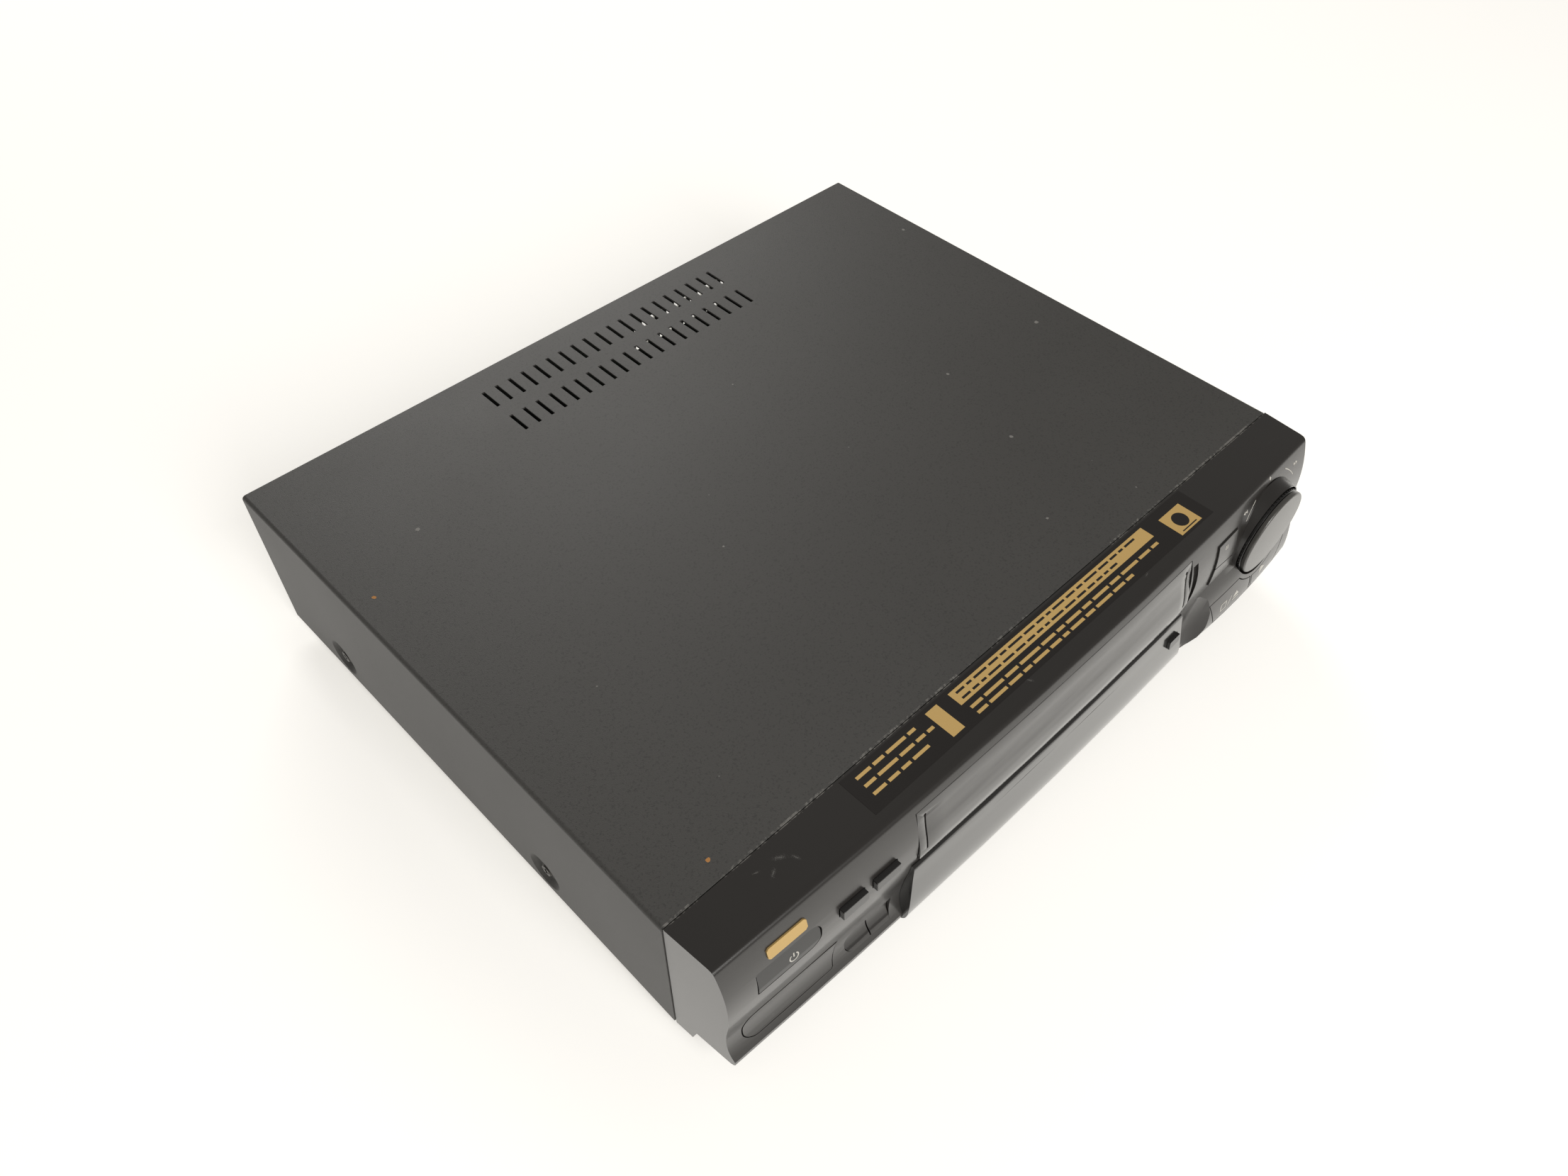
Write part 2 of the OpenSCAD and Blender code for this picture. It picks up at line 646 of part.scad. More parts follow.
// Side view of the flap, set in by s; its lower edge stands back from the panel
function flap_outline(s) = concat([[8, 91.5]],
  curve([[-25 + s, 91.5], [-28.6 + s, 82], [-29 + s, 73], [-27.8 + s, 59]], 8), [[8, 59]]);
module cassette_flap() {
  x = [slot_lo + 0.5, slot_hi - 0.5];
  z = [slot_bottom + 0.6, slot_top - 0.35];
  color(panel_black) from_seam() difference() {
    union() {
      difference() {
        intersection() {
          bowed(flap_outline(0));
          through_y([-far, -20])
            polygon([[x[0], z[1]], [x[0], z[0] + 1], [x[0] + 1, z[0]], [x[1] - 1, z[0]], [x[1], z[0] + 1], [x[1], z[1]]]);
        }
        bowed(flap_outline(2.2));
      }
      rod_x([x[0] + 0.1, x[1] - 0.1], [hinge_y, hinge_z], 1.2);
      rod_x([slot_lo - 1.7, slot_hi + 1.7], [hinge_y, hinge_z], pin_r);
    }
    for (at = [x[0] + 4.2, x[1] - 3.8]) {
      difference() {
        union() {
          block([at - 0.45, at + 0.45], [-far, -20], [slot_bottom + 5, hinge_z - 3]);
          rod_y([at, hinge_z - 3], [-far, -20], 0.8);
        }
        bowed(flap_outline(0.8));
      }
    }
  }
}
module flap_spring() {
  color(steel) from_seam() difference() {
    rod_x([slot_hi + 2.3, slot_hi + 8], [hinge_y + 2.5, hinge_z - 1], 2);
    rod_x([slot_hi + 2, slot_hi + 9], [hinge_y + 2.5, hinge_z - 1], 1.3);
  }
}

module top_cover() {
  y = [cover_t / 10, cover_d];
  color(cover_black) from_seam() difference() {
    union() {
      translate([0, y[1], 0]) rotate([90, 0, 0]) linear_extrude(height = y[1] - y[0]) difference() {
        soft_top(half_w, cover_z, case_h, fold_r);
        soft_top(half_w - cover_t, cover_z - 1, inner_top, fold_r - cover_t / 2);
      }
      for (side = [-1, 1], dy = [dimple_front_y, dimple_rear_y])
        dimple(side, dy, half_w - cover_t);
    }
    for (side = [-1, 1], dy = [dimple_front_y, dimple_rear_y]) {
      dimple(side, dy, half_w);
      rod_x([side * half_w - 10, side * half_w + 10], [dy, dimple_z], 1.9);
    }
    for (row = [0, 1], i = [0:vent_count - 1]) {
      x = (i - (vent_count - 1) / 2) * vent_pitch;
      yc = vent_y + row * vent_gap;
      block([x - vent_w / 2, x + vent_w / 2], [yc - vent_l / 2, yc + vent_l / 2], [inner_top - 1, case_h + 1]);
    }
  }
}
module soft_top(w, lo, hi, r) {
  polygon(concat([[-w, lo], [w, lo]], arc([w - r, hi - r], r, 0, 90, 8), arc([-w + r, hi - r], r, 90, 180, 8)));
}
// The form of a pressed cup, starting at distance x from the middle
module dimple(side, y, x) {
  r = dimple_d / 2;
  translate([side * x, y, dimple_z]) rotate([0, -side * 90, 0])
    cylinder(h = dimple_depth, r1 = r, r2 = r - 2.5, $fn = 64);
}
module base_plate() {
  x = flange_x;
  color(zinc) from_seam() difference() {
    union() {
      block([-x, x], [1, rear_y - clear], [base_z, base_top]);
      for (side = [-1, 1])
        block([side * (x - sheet_t / 2) - sheet_t / 2, side * (x - sheet_t / 2) + sheet_t / 2],
          [1, rear_y - clear], [base_z, dimple_z + dimple_d / 2 + 2]);
      block([-x, x], [1, 1 + sheet_t], [base_z, base_z + 7]);
      for (bx = [-3:3]) bead(bx * 50, 40, rear_y - 40);
      for (at = board_posts()) post(at, [base_top - 0.4, main_z], 3);
      for (at = deck_posts()) post(at, [base_top - 0.4, deck_z], 4.5);
    }
    for (side = [-1, 1], dy = [dimple_front_y, dimple_rear_y])
      rod_x([side * x - 3, side * x + 3], [dy, dimple_z], 1.55);
    for (i = [-8:8], row = [0, 1])
      block([i * 9 - 1.5 + 25, i * 9 + 1.5 + 25], [232 + row * 26, 250 + row * 26], [0, base_top + 1]);
  }
}
module bead(x, y0, y1) {
  through_y([y0, y1 - 45]) polygon([[x - 4, base_top - 0.2], [x - 2.5, base_top + 0.8], [x + 2.5, base_top + 0.8],
    [x + 4, base_top - 0.2]]);
}
function board_posts() = [for (x = [-half_w + 16, -58, 66, half_w - 16], y = [16, rear_y - 12]) [x, y]];
function deck_posts() = [for (x = [slot_x - 98, slot_x + 98], y = [20, deck_rear - 12]) [x, y]];

module rear_panel() {
  x = half_w - cover_t - clear;
  color(zinc) from_seam() difference() {
    block([-x, x], [rear_y, rear_y + sheet_t], [base_z, inner_top - clear]);
    for (sx = scart_places()) block([sx - 24, sx + 24], [rear_y - 1, rear_y + 3], [main_top + 2, main_top + 17]);
    for (cx = coax_places()) rod_y([cx, main_top + 15], [rear_y - 1, rear_y + 3], 6.3);
    block([mains_x - 13, mains_x + 13], [rear_y - 1, rear_y + 3], [main_top + 2, main_top + 18]);
    for (i = [0:11]) block([30 + i * 6, 33 + i * 6], [rear_y - 1, rear_y + 3], [58, 76]);
    for (sx = [-x + 8, 0, x - 8]) rod_y([sx, inner_top - 8], [rear_y - 1, rear_y + 3], 1.55);
  }
}
mains_x = -half_w + 34;
function scart_places() = [-78, -20];
function coax_places() = [half_w - 66, half_w - 40];

module feet() {
  color("#191919") from_seam() for (x = [-half_w + 34, half_w - 34], y = [26, cover_d - 34]) {
    cone([x, y], [0, 3], [foot_d / 2 - 2, foot_d / 2 - 0.6]);
    cone([x, y], [3, base_z], [foot_d / 2 - 0.6, foot_d / 2]);
  }
}
module case_screws() {
  color(steel) from_seam() {
    for (side = [-1, 1], dy = [dimple_front_y, dimple_rear_y]) {
      head = half_w - dimple_depth;
      mirror([side < 0 ? 1 : 0, 0, 0]) difference() {
        union() {
          translate([head, dy, dimple_z]) rotate([0, 90, 0]) cylinder(h = 1.9, r1 = 4, r2 = 2.8, $fn = 48);
          rod_x([head - 8, head + 0.1], [dy, dimple_z], 1.5);
        }
        block([head + 0.9, head + 3], [dy - 2, dy + 2], [dimple_z - 0.45, dimple_z + 0.45]);
        block([head + 0.9, head + 3], [dy - 0.45, dy + 0.45], [dimple_z - 2, dimple_z + 2]);
      }
    }
    for (sx = [-half_w + cover_t + clear + 8, 0, half_w - cover_t - clear - 8]) difference() {
      union() {
        translate([sx, rear_y + sheet_t, inner_top - 8]) rotate([-90, 0, 0]) cylinder(h = 1.9, r1 = 3.6, r2 = 2.4, $fn = 48);
        rod_y([sx, inner_top - 8], [rear_y - 6, rear_y + sheet_t + 0.1], 1.5);
      }
      block([sx - 2, sx + 2], [rear_y + sheet_t + 0.9, rear_y + 5], [inner_top - 8.45, inner_top - 7.55]);
    }
  }
}

module main_board() {
  x = flange_x - sheet_t - 1;
  color(board_green) from_seam() difference() {
    block([-x, x], [6, rear_y - 3], [main_z, main_top]);
    for (at = deck_posts()) post(at, [main_z - 1, main_top + 1], 5.5);
    for (at = board_posts()) post(at, [main_z - 1, main_top + 1], 1.6);
  }
}
module board_parts() {
  color("#2a2c33") from_seam() {
    for (p = [[-130, 262, 11, 34], [-128, 232, 8, 25], [92, 262, 6, 18], [104, 240, 5, 14], [-142, 60, 4, 9],
        [-160, 84, 5, 12], [-170, 120, 4, 9], [130, 60, 5, 12], [150, 96, 4, 9], [164, 150, 6, 16], [134, 190, 4, 9]]) {
      post([p[0], p[1]], [main_top, main_top + p[3]], p[2]);
    }
    for (p = [[-168, 40, 22, 14], [-150, 150, 30, 12], [-172, 180, 14, 14], [126, 120, 36, 14], [160, 40, 20, 20],
        [120, 150, 14, 20], [30, 250, 30, 12], [150, 205, 26, 12]]) {
      block([p[0] - p[2] / 2, p[0] + p[2] / 2], [p[1] - p[3] / 2, p[1] + p[3] / 2], [main_top, main_top + 3.6]);
    }
    difference() {
      block([-186, -140], [96, 134], [main_top, main_top + 14]);
      block([-185.4, -140.6], [96.6, 133.4], [main_top - 1, main_top + 13.4]);
      for (i = [0:5]) post([-178 + i * 6, 115], [main_top, main_top + 20], 1.6);
    }
  }
}
module heat_sink() {
  x0 = -58;
  fins = 9;
  fin_pitch = 7;
  y = [deck_rear + 8, rear_y - 28];
  mid = (y[0] + y[1]) / 2;
  color("#8f9295") from_seam() union() {
    block([x0, x0 + (fins - 1) * fin_pitch + 2], [mid - 1.5, mid + 1.5], [main_top, 70]);
    for (i = [0:fins - 1]) block([x0 + i * fin_pitch, x0 + i * fin_pitch + 2], y, [main_top + 4, 70]);
    block([x0 + 12, x0 + 22], [mid + 1.5, mid + 5.9], [main_top, main_top + 18]);
    block([x0 + 40, x0 + 50], [mid + 1.5, mid + 5.9], [main_top, main_top + 18]);
  }
}
module power_transformer() {
  x = -half_w + 40;
  color("#7b6a45") from_seam() union() {
    block([x - 16, x + 16], [196, 226], [main_top, main_top + 5]);
    block([x - 15, x + 15], [197, 225], [main_top + 22, main_top + 27]);
    post([x, 211], [main_top + 4, main_top + 23], 12);
    block([x - 16, x - 12.5], [204, 218], [main_top + 4, main_top + 23]);
    block([x + 12.5, x + 16], [204, 218], [main_top + 4, main_top + 23]);
  }
}
module tuner_box() {
  x = [half_w - 80, half_w - 26];
  color("#c3c5c4") from_seam() union() {
    block(x, [238, rear_y], [main_top, main_top + 26]);
    for (cx = coax_places()) difference() {
      rod_y([cx, main_top + 15], [rear_y - 1, cover_d - 0.6], 5.8);
      rod_y([cx, main_top + 15], [rear_y + 0.4, cover_d + 1], 4.6);
    }
    for (cx = coax_places()) rod_y([cx, main_top + 15], [rear_y - 1, cover_d - 1.4], 1.4);
  }
}
// Two 21-way sockets, each with its shroud groove and two rows of contact slots
module scart_sockets() {
  color("#151515") from_seam() for (sx = scart_places()) difference() {
    through_y([rear_y - 16, rear_y + sheet_t + 1.6])
      polygon([[sx - 23.5, main_top + 2.5], [sx + 21, main_top + 2.5], [sx + 23.5, main_top + 5],
        [sx + 23.5, main_top + 16], [sx - 23.5, main_top + 16]]);
    difference() {
      block([sx - 21.5, sx + 21.5], [rear_y - 10, rear_y + 5], [main_top + 4.3, main_top + 14.2]);
      block([sx - 20, sx + 20], [rear_y - 11, rear_y + 5], [main_top + 5.8, main_top + 12.7]);
    }
    for (i = [0:9], row = [0, 1])
      block([sx - 18 + i * 3.8 + row * 1.9 - 0.5, sx - 18 + i * 3.8 + row * 1.9 + 0.5], [rear_y - 10, rear_y + 5],
        [main_top + 6.5 + row * 3.1, main_top + 8.9 + row * 3.1]);
  }
}
// Figure-eight mains inlet with two pins
module mains_inlet() {
  zc = main_top + 10;
  color("#151515") from_seam() union() {
    difference() {
      block([mains_x - 12.7, mains_x + 12.7], [rear_y - 17, rear_y + sheet_t + 1.4], [main_top + 2.3, main_top + 17.7]);
      for (s = [-1, 1]) rod_y([mains_x + s * 4.3, zc], [rear_y - 12, rear_y + 5], 4.6);
      block([mains_x - 4.3, mains_x + 4.3], [rear_y - 12, rear_y + 5], [zc - 4.2, zc + 4.2]);
    }
    for (s = [-1, 1]) rod_y([mains_x + s * 4.3, zc], [rear_y - 12.5, rear_y - 2], 1.2);
  }
}

reel_x = [slot_x - reel_pitch / 2, slot_x + reel_pitch / 2];
capstan_at = [slot_x + 62, 158];
pinch_pivot = [capstan_at[0] + 16, capstan_at[1] + 16];
pinch_len = 20;
pinch_at = [pinch_pivot[0] + pinch_len * cos(271.3), pinch_pivot[1] + pinch_len * sin(271.3)];
idler_pivot = [slot_x, reel_y - 14];
idler_at = [slot_x, reel_y + 6];
guide_from = [34, drum_y - 38];
guide_to = [46, drum_y + 6];
tension_pivot = [slot_x - 76, 172];
tension_post = [slot_x - 62, 150];
mode_at = [slot_x - 74, 203];
shaft_at = [150, 80];
side_in = 102.3;

module deck_chassis() {
  color(steel) from_seam() difference() {
    union() {
      block([deck_lo, deck_hi], [8, deck_rear], [deck_z, deck_top]);
      block([deck_lo, deck_hi], [8, 9.4], [deck_z - 5, deck_top]);
      block([deck_lo, deck_hi], [deck_rear - 1.4, deck_rear], [deck_z - 5, deck_top]);
      for (x = reel_x) {
        post([x, reel_y], [deck_top - 0.1, deck_top + 0.8], 4);
        post([x, reel_y], [deck_top, deck_top + 12], 1.5);
      }
      post(idler_pivot, [deck_z - 12.5, deck_top + 6], 1.5);
      post(pinch_pivot, [deck_top, deck_top + 8], 1.5);
      post(tension_pivot, [deck_top, deck_top + 8], 1.5);
      post(mode_at, [deck_top, deck_top + 6], 2);
    }
    post(capstan_at, [deck_z - 1, deck_top + 1], 6.3);
    for (side = [-1, 1]) guide_slot(side);
    block([slot_x - 16, slot_x + 16], [24, 44], [deck_z - 1, deck_top + 1]);
    block([slot_x - 60, slot_x + 60], [108, 130], [deck_z - 1, deck_top + 1]);
    for (at = deck_posts()) post(at, [deck_z - 1, deck_top + 1], 1.6);
  }
}
module guide_slot(side) {
  a = [slot_x + side * guide_from[0], guide_from[1]];
  b = [slot_x + side * guide_to[0], guide_to[1]];
  long_hole(a, b, 3, [deck_z - 1, deck_top + 1]);
}
// A round-ended slab of radius r from a to b
module long_hole(a, b, r, z) {
  turn = atan2(b[1] - a[1], b[0] - a[0]);
  translate([a[0], a[1], z[0]]) rotate([0, 0, turn]) linear_extrude(height = z[1] - z[0])
    polygon(concat(arc([0, 0], r, 90, 270, 16), arc([norm(b - a), 0], r, -90, 90, 16)));
}

// Side of the loader, seen from the left; the hand gives the side on which it stands
module loader_side() {
  difference() {
    through_x([side_in, side_in + 1.2]) polygon([[12, deck_top], [190, deck_top], [190, 90], [138, 90], [128, 76],
      [60, 76], [50, 90], [12, 90]]);
    block([side_in - 1, side_in + 3], [35.8, 66.2 + carriage_travel], [58.95, 63.05]);
    block([side_in - 1, side_in + 3], [70, 128], [40, 52]);
    rod_x([side_in - 1, side_in + 3], shaft_at, 3 + shaft_gap);
  }
  block([side_in - 9, side_in + 1.2], [14, 60], [deck_top, deck_top + 1.2]);
  block([side_in - 9, side_in + 1.2], [166, 188], [deck_top, deck_top + 1.2]);
}
module loader_side_left() {
  color(steel) from_seam() translate([slot_x, 0, 0]) mirror([1, 0, 0]) loader_side();
}
module loader_side_right() { color(steel) from_seam() translate([slot_x, 0, 0]) loader_side(); }
module loader_bridge() {
  x = side_in + 1.2;
  color(steel) from_seam() difference() {
    block([slot_x - x, slot_x + x], [22, 40], [90, 91.2]);
    block([slot_x - 60, slot_x + 60], [26, 36], [89, 92]);
  }
}
module slider_form() {
  pitch = PI;
  step = shaft_at[0] - carriage_travel - 11;
  x = [side_in - 2.6, side_in - 1.4];
  pin_z = 74;
  union() {
    difference() {
      through_x(x) polygon(concat([[14, 50], [step, 50], [step, 64], [168, 64]],
        [for (i = [4:-1:-18], k = [[0.38, -1.2], [0.2, 0], [0.1, 0.8], [-0.1, 0.8], [-0.2, 0], [-0.38, -1.2]])
          [shaft_at[0] + (i + k[0]) * pitch, shaft_at[1] - 8 + k[1]]],
        [[step, 70.8], [step, 79], [14, 79]]));
      for (y = [26, 80])
        block([x[0] - 1, x[1] + 1], [y - 1.55, y + 1.55], [pin_z - carrier_drop - 1.55, pin_z + 1.55]);
    }
    for (y = [38, 64]) rod_x([x[0] + 0.2, side_in + 1.6], [y, 61], 2);
  }
}
module slider_left() {
  color(nylon) from_seam() translate([slot_x, 0, 0]) mirror([1, 0, 0]) slider_form();
}
module slider_right() { color(nylon) from_seam() translate([slot_x, 0, 0]) slider_form(); }
module cassette_carrier() {
  half = cassette_w / 2 + 0.5;
  t = 0.8;
  floor_z = entry_z;
  top_z = entry_z + cassette_h + 0.4;
  y = [6, 6 + carrier_d];
  color(steel) from_seam() union() {
    for (side = [-1, 1]) translate([slot_x, 0, 0]) mirror([side < 0 ? 1 : 0, 0, 0]) {
      block([half, half + t], y, [floor_z - t, top_z + t]);
      block([half - 24, half + t], y, [floor_z - t, floor_z]);
      block([half - 9, half + t], y, [top_z, top_z + t]);
      block([half - 30, half + t], [y[1] - t, y[1]], [floor_z + 3, top_z + t]);
      for (py = [26, 80]) rod_x([half, side_in - 1], [py, 74], 1.5);
    }
    block([slot_x - half, slot_x + half], [y[0], y[0] + 8], [floor_z - t, floor_z]);
    block([slot_x - half, slot_x + half], [y[0] + 4, y[0] + 16], [top_z, top_z + t]);
    block([slot_x - half, slot_x + half], [y[1] - 14, y[1]], [top_z, top_z + t]);
  }
}
module loader_shaft() {
  color(nylon) from_seam() union() {
    rod_x([slot_x - side_in - 3, slot_x + side_in + 8], shaft_at, 3);
    for (side = [-1, 1]) spur(16, slot_x + side * (side_in - 2) - 0.9, 1.8, shaft_at, -90 + 11.25);
    spur(20, slot_x + side_in + 2.6, 4, shaft_at, 9);
  }
}
module spur(teeth, x, width, at, turn) {
  translate([x, at[0], at[1]]) rotate([90, 0, 90]) linear_extrude(height = width)
    polygon(gear_points(teeth, turn));
}
motor_at = [shaft_at[0] + 14, shaft_at[1]];
module motor_pinion() {
  color(nylon) from_seam() union() {
    spur(8, slot_x + side_in + 2.6, 4, motor_at, 180);
    rod_x([slot_x + side_in + 2.2, slot_x + side_in + 12], motor_at, 1);
  }
}
module loader_motor() {
  plate = slot_x + side_in + 8;
  color("#9a9c9f") from_seam() difference() {
    union() {
      block([plate, plate + 1.2], [152, 186], [68, 92]);
      rod_x([plate + 1, plate + 26], motor_at, 11.6);
      rod_x([plate + 25, plate + 29], motor_at, 4);
      for (z = [72, 87]) rod_x([slot_x + side_in + 1.2, plate + 0.1], [180, z], 2.5);
    }
    rod_x([plate - 1, plate + 6], motor_at, 1.3);
  }
}

module drum_frame() { translate([slot_x, drum_y, deck_top]) rotate([0, drum_tilt, 0]) children(); }
module drum_base() {
  color("#d4d6d8") from_seam() difference() {
    union() {
      intersection() {
        drum_frame() difference() {
          translate([0, 0, -8]) cylinder(h = 28, r = drum_d / 2, $fn = 96);
          translate([0, 0, -9]) cylinder(h = 30, r = 3 + shaft_gap, $fn = 48);
        }
        post([slot_x, drum_y], [deck_top, deck_top + 30], drum_d / 2 + 4);
      }
      for (a = [60, 180, 300]) difference() {
        drum_ear(a);
        drum_frame() translate([0, 0, -9]) cylinder(h = 30, r = drum_d / 2 - 4, $fn = 96);
      }
    }
  }
}
module drum_ear(a) {
  translate([slot_x, drum_y, deck_top]) rotate([0, 0, a]) {
    translate([drum_d / 2 - 6, -4, 0]) cube([9, 8, 3]);
  }
}
module drum_upper() {
  color("#e3e5e7") from_seam() drum_frame() difference() {
    union() {
      translate([0, 0, 20.4]) cylinder(h = 16, r = drum_d / 2, $fn = 96);
      translate([0, 0, 36.3]) cylinder(h = 2, r = drum_d / 2 - 5, $fn = 96);
      translate([0, 0, 38.2]) cylinder(h = 3, r = 11, $fn = 64);
      translate([0, 0, 2]) cylinder(h = 19, r = 3, $fn = 48);
    }
    for (a = [0, 180]) rotate([0, 0, a]) translate([drum_d / 2 - 1.5, -1.6, 20]) cube([3, 3.2, 3]);
    for (a = [90, 210, 330]) rotate([0, 0, a]) translate([7.5, 0, 39.4]) cylinder(h = 3, r = 1.4, $fn = 32);
  }
}
module capstan_stator() {
  color("#4a4d52") from_seam() difference() {
    union() {
      block([capstan_at[0] - 11, capstan_at[0] + 27], [capstan_at[1] - 24, capstan_at[1] + 24], [deck_z - 2.4, deck_z]);
      post(capstan_at, [deck_z - 2.4, deck_top + 3.4], 3.5);
    }
    post(capstan_at, [0, case_h], 1.5 + shaft_gap);
  }
}
module capstan_rotor() {
  color("#c9cbcd") from_seam() union() {
    ring(capstan_at, [deck_z - 9, deck_z - 3], [14, 23]);
    post(capstan_at, [deck_z - 9, deck_z - 7], 15);
    post(capstan_at, [deck_z - 9, deck_z + 30], 1.5);
    ring(capstan_at, [deck_z - 11.5, deck_z - 8.8], [1.4, 9]);
  }
}
module pinch_arm() {
  z = deck_top + 0.4;
  color(steel) from_seam() difference() {
    union() {
      post(pinch_pivot, [z, z + 7], 4);
      post(pinch_at, [z, z + 3], 4);
      post(pinch_at, [z, deck_top + 26], 1.5);
      block([pinch_pivot[0] - 3, pinch_pivot[0] + 3], [pinch_at[1], pinch_pivot[1]], [z, z + 2.4]);
    }
    post(pinch_pivot, [z - 1, z + 9], 1.5 + shaft_gap);
  }
}
module pinch_roller() {
  color("#171717") from_seam() difference() {
    post(pinch_at, [deck_top + 4, deck_top + 24], 6.5);
    post(pinch_at, [deck_top, deck_top + 30], 1.5 + shaft_gap);
  }
}
module reel(x, tone) {
  z = deck_top + 0.9;
  color(tone) from_seam() difference() {
    union() {
      post([x, reel_y], [z, z + 3], 20);
      post([x, reel_y], [z + 2.9, z + 5.4], 14);
      post([x, reel_y], [z + 5.3, z + 16], 6);
      cone([x, reel_y], [z + 15.9, z + 18], [6, 3.4]);
      for (a = [0:60:300]) translate([x, reel_y, 0]) rotate([0, 0, a])
        block([5.4, 8.6], [-0.7, 0.7], [z + 5.3, z + 14]);
    }
    post([x, reel_y], [z - 1, z + 13], 1.5 + shaft_gap);
  }
}
module supply_reel() { reel(reel_x[0], nylon); }
module takeup_reel() { reel(reel_x[1], nylon); }
module clutch_pulley() {
  color(nylon) from_seam() difference() {
    union() {
      post(idler_pivot, [deck_z - 11.5, deck_z - 8.8], 9);
      post(idler_pivot, [deck_z - 8.9, deck_z - 6], 4);
    }
    post(idler_pivot, [0, deck_z], 1.5 + shaft_gap);
  }
}
// Flat belt from the capstan's pulley to the clutch, on the outside of both
module reel_belt() {
  r = 9 + clear;
  z = [deck_z - 11.2, deck_z - 9.2];
  color("#121212") from_seam() difference() {
    long_hole(idler_pivot, capstan_at, r + 0.8, z);
    long_hole(idler_pivot, capstan_at, r, [z[0] - 1, z[1] + 1]);
  }
}
module idler_arm() {
  z = deck_top + 4.4;
  color(steel) from_seam() difference() {
    union() {
      post(idler_pivot, [deck_top + 0.3, z + 1], 4);
      post(idler_at, [z, z + 1], 3.4);
      post(idler_at, [deck_top + 0.4, z + 0.5], 1.5);
      block([slot_x - 2.4, slot_x + 2.4], [idler_pivot[1], idler_at[1]], [z, z + 1]);
    }
    post(idler_pivot, [deck_top - 1, z + 3], 1.5 + shaft_gap);
  }
}
module idler_wheel() {
  color("#171717") from_seam() difference() {
    post(idler_at, [deck_top + 0.9, deck_top + 3.9], 12);
    post(idler_at, [deck_top, deck_top + 8], 1.5 + shaft_gap);
  }
}
module guide(side) {
  x = slot_x + side * guide_from[0];
  at = [x, guide_from[1]];
  color(steel) from_seam() union() {
    post(at, [deck_z - 1.5, deck_top + 0.4], 2.9);
    post(at, [deck_z - 2.7, deck_z - 0.3], 4.2);
    post(at, [deck_top + 0.3, deck_top + 4], 7);
    post(at, [deck_top + 3.9, deck_top + 27], 1.2);
    post(at, [deck_top + 6, deck_top + 8], 4.4);
    post(at, [deck_top + 7.9, deck_top + 22.1], 3.2);
    post(at, [deck_top + 22, deck_top + 24], 4.4);
  }
}
module supply_guide() { guide(-1); }
module takeup_guide() { guide(1); }
module tension_arm() {
  z = deck_top + 0.4;
  run = norm(tension_post - tension_pivot);
  turn = atan2(tension_post[1] - tension_pivot[1], tension_post[0] - tension_pivot[0]);
  color(steel) from_seam() difference() {
    union() {
      post(tension_pivot, [z, z + 6], 4);
      post(tension_post, [z, z + 1.6], 3);
      post(tension_post, [z + 1, deck_top + 24], 1.4);
      translate([tension_pivot[0], tension_pivot[1], z]) rotate([0, 0, turn]) translate([0, -2.2, 0])
        cube([run, 4.4, 1.6]);
    }
    post(tension_pivot, [z - 1, z + 9], 1.5 + shaft_gap);
  }
}
module mode_gear() {
  z = deck_top + 0.5;
  color(nylon) from_seam() difference() {
    union() {
      translate([mode_at[0], mode_at[1], z]) linear_extrude(height = 3) polygon(gear_points(30, 0));
      post(mode_at, [z + 2.9, z + 6], 5);
    }
    post(mode_at, [z - 1, z + 9], 2 + shaft_gap);
    for (a = [30:60:330]) translate([mode_at[0], mode_at[1], 0]) rotate([0, 0, a]) post([9.5, 0], [z - 1, z + 4], 2.2);
  }
}
module tape_heads() {
  color("#cfc9b8") from_seam() {
    for (p = [[slot_x + 60, drum_y - 11, 10, 12], [slot_x - 50, drum_y - 29, 9, 8]]) {
      block([p[0] - p[2] / 2, p[0] + p[2] / 2], [p[1] - p[3] / 2, p[1] + p[3] / 2], [deck_top, deck_top + 4]);
      block([p[0] - p[2] / 2 + 1, p[0] + p[2] / 2 - 1], [p[1] - p[3] / 2 + 1, p[1] + p[3] / 2 - 1],
        [deck_top + 4, deck_top + 24]);
    }
  }
}

top_cover();
base_plate();
rear_panel();
feet();
case_screws();
front_panel();
display_lens();
display_module();
front_board();
cassette_flap();
flap_spring();
power_button();
bar_button_left();
bar_button_right();
twin_button_left();
twin_button_right();
set_button();
display_button();
pause_button();
record_button();
stop_button();
play_button();
dial_cap();
shuttle_ring();
main_board();
board_parts();
heat_sink();
power_transformer();
tuner_box();
scart_sockets();
mains_inlet();
deck_chassis();
loader_side_left();
loader_side_right();
loader_bridge();
loader_motor();
loader_shaft();
motor_pinion();
slider_left();
slider_right();
cassette_carrier();
drum_base();
drum_upper();
capstan_stator();
capstan_rotor();
pinch_arm();
pinch_roller();
supply_reel();
takeup_reel();
clutch_pulley();
reel_belt();
idler_arm();
idler_wheel();
supply_guide();
takeup_guide();
tension_arm();
mode_gear();
tape_heads();
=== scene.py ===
import json
import math

import bmesh
import bpy
from mathutils import Matrix, Vector
from mathutils.bvhtree import BVHTree

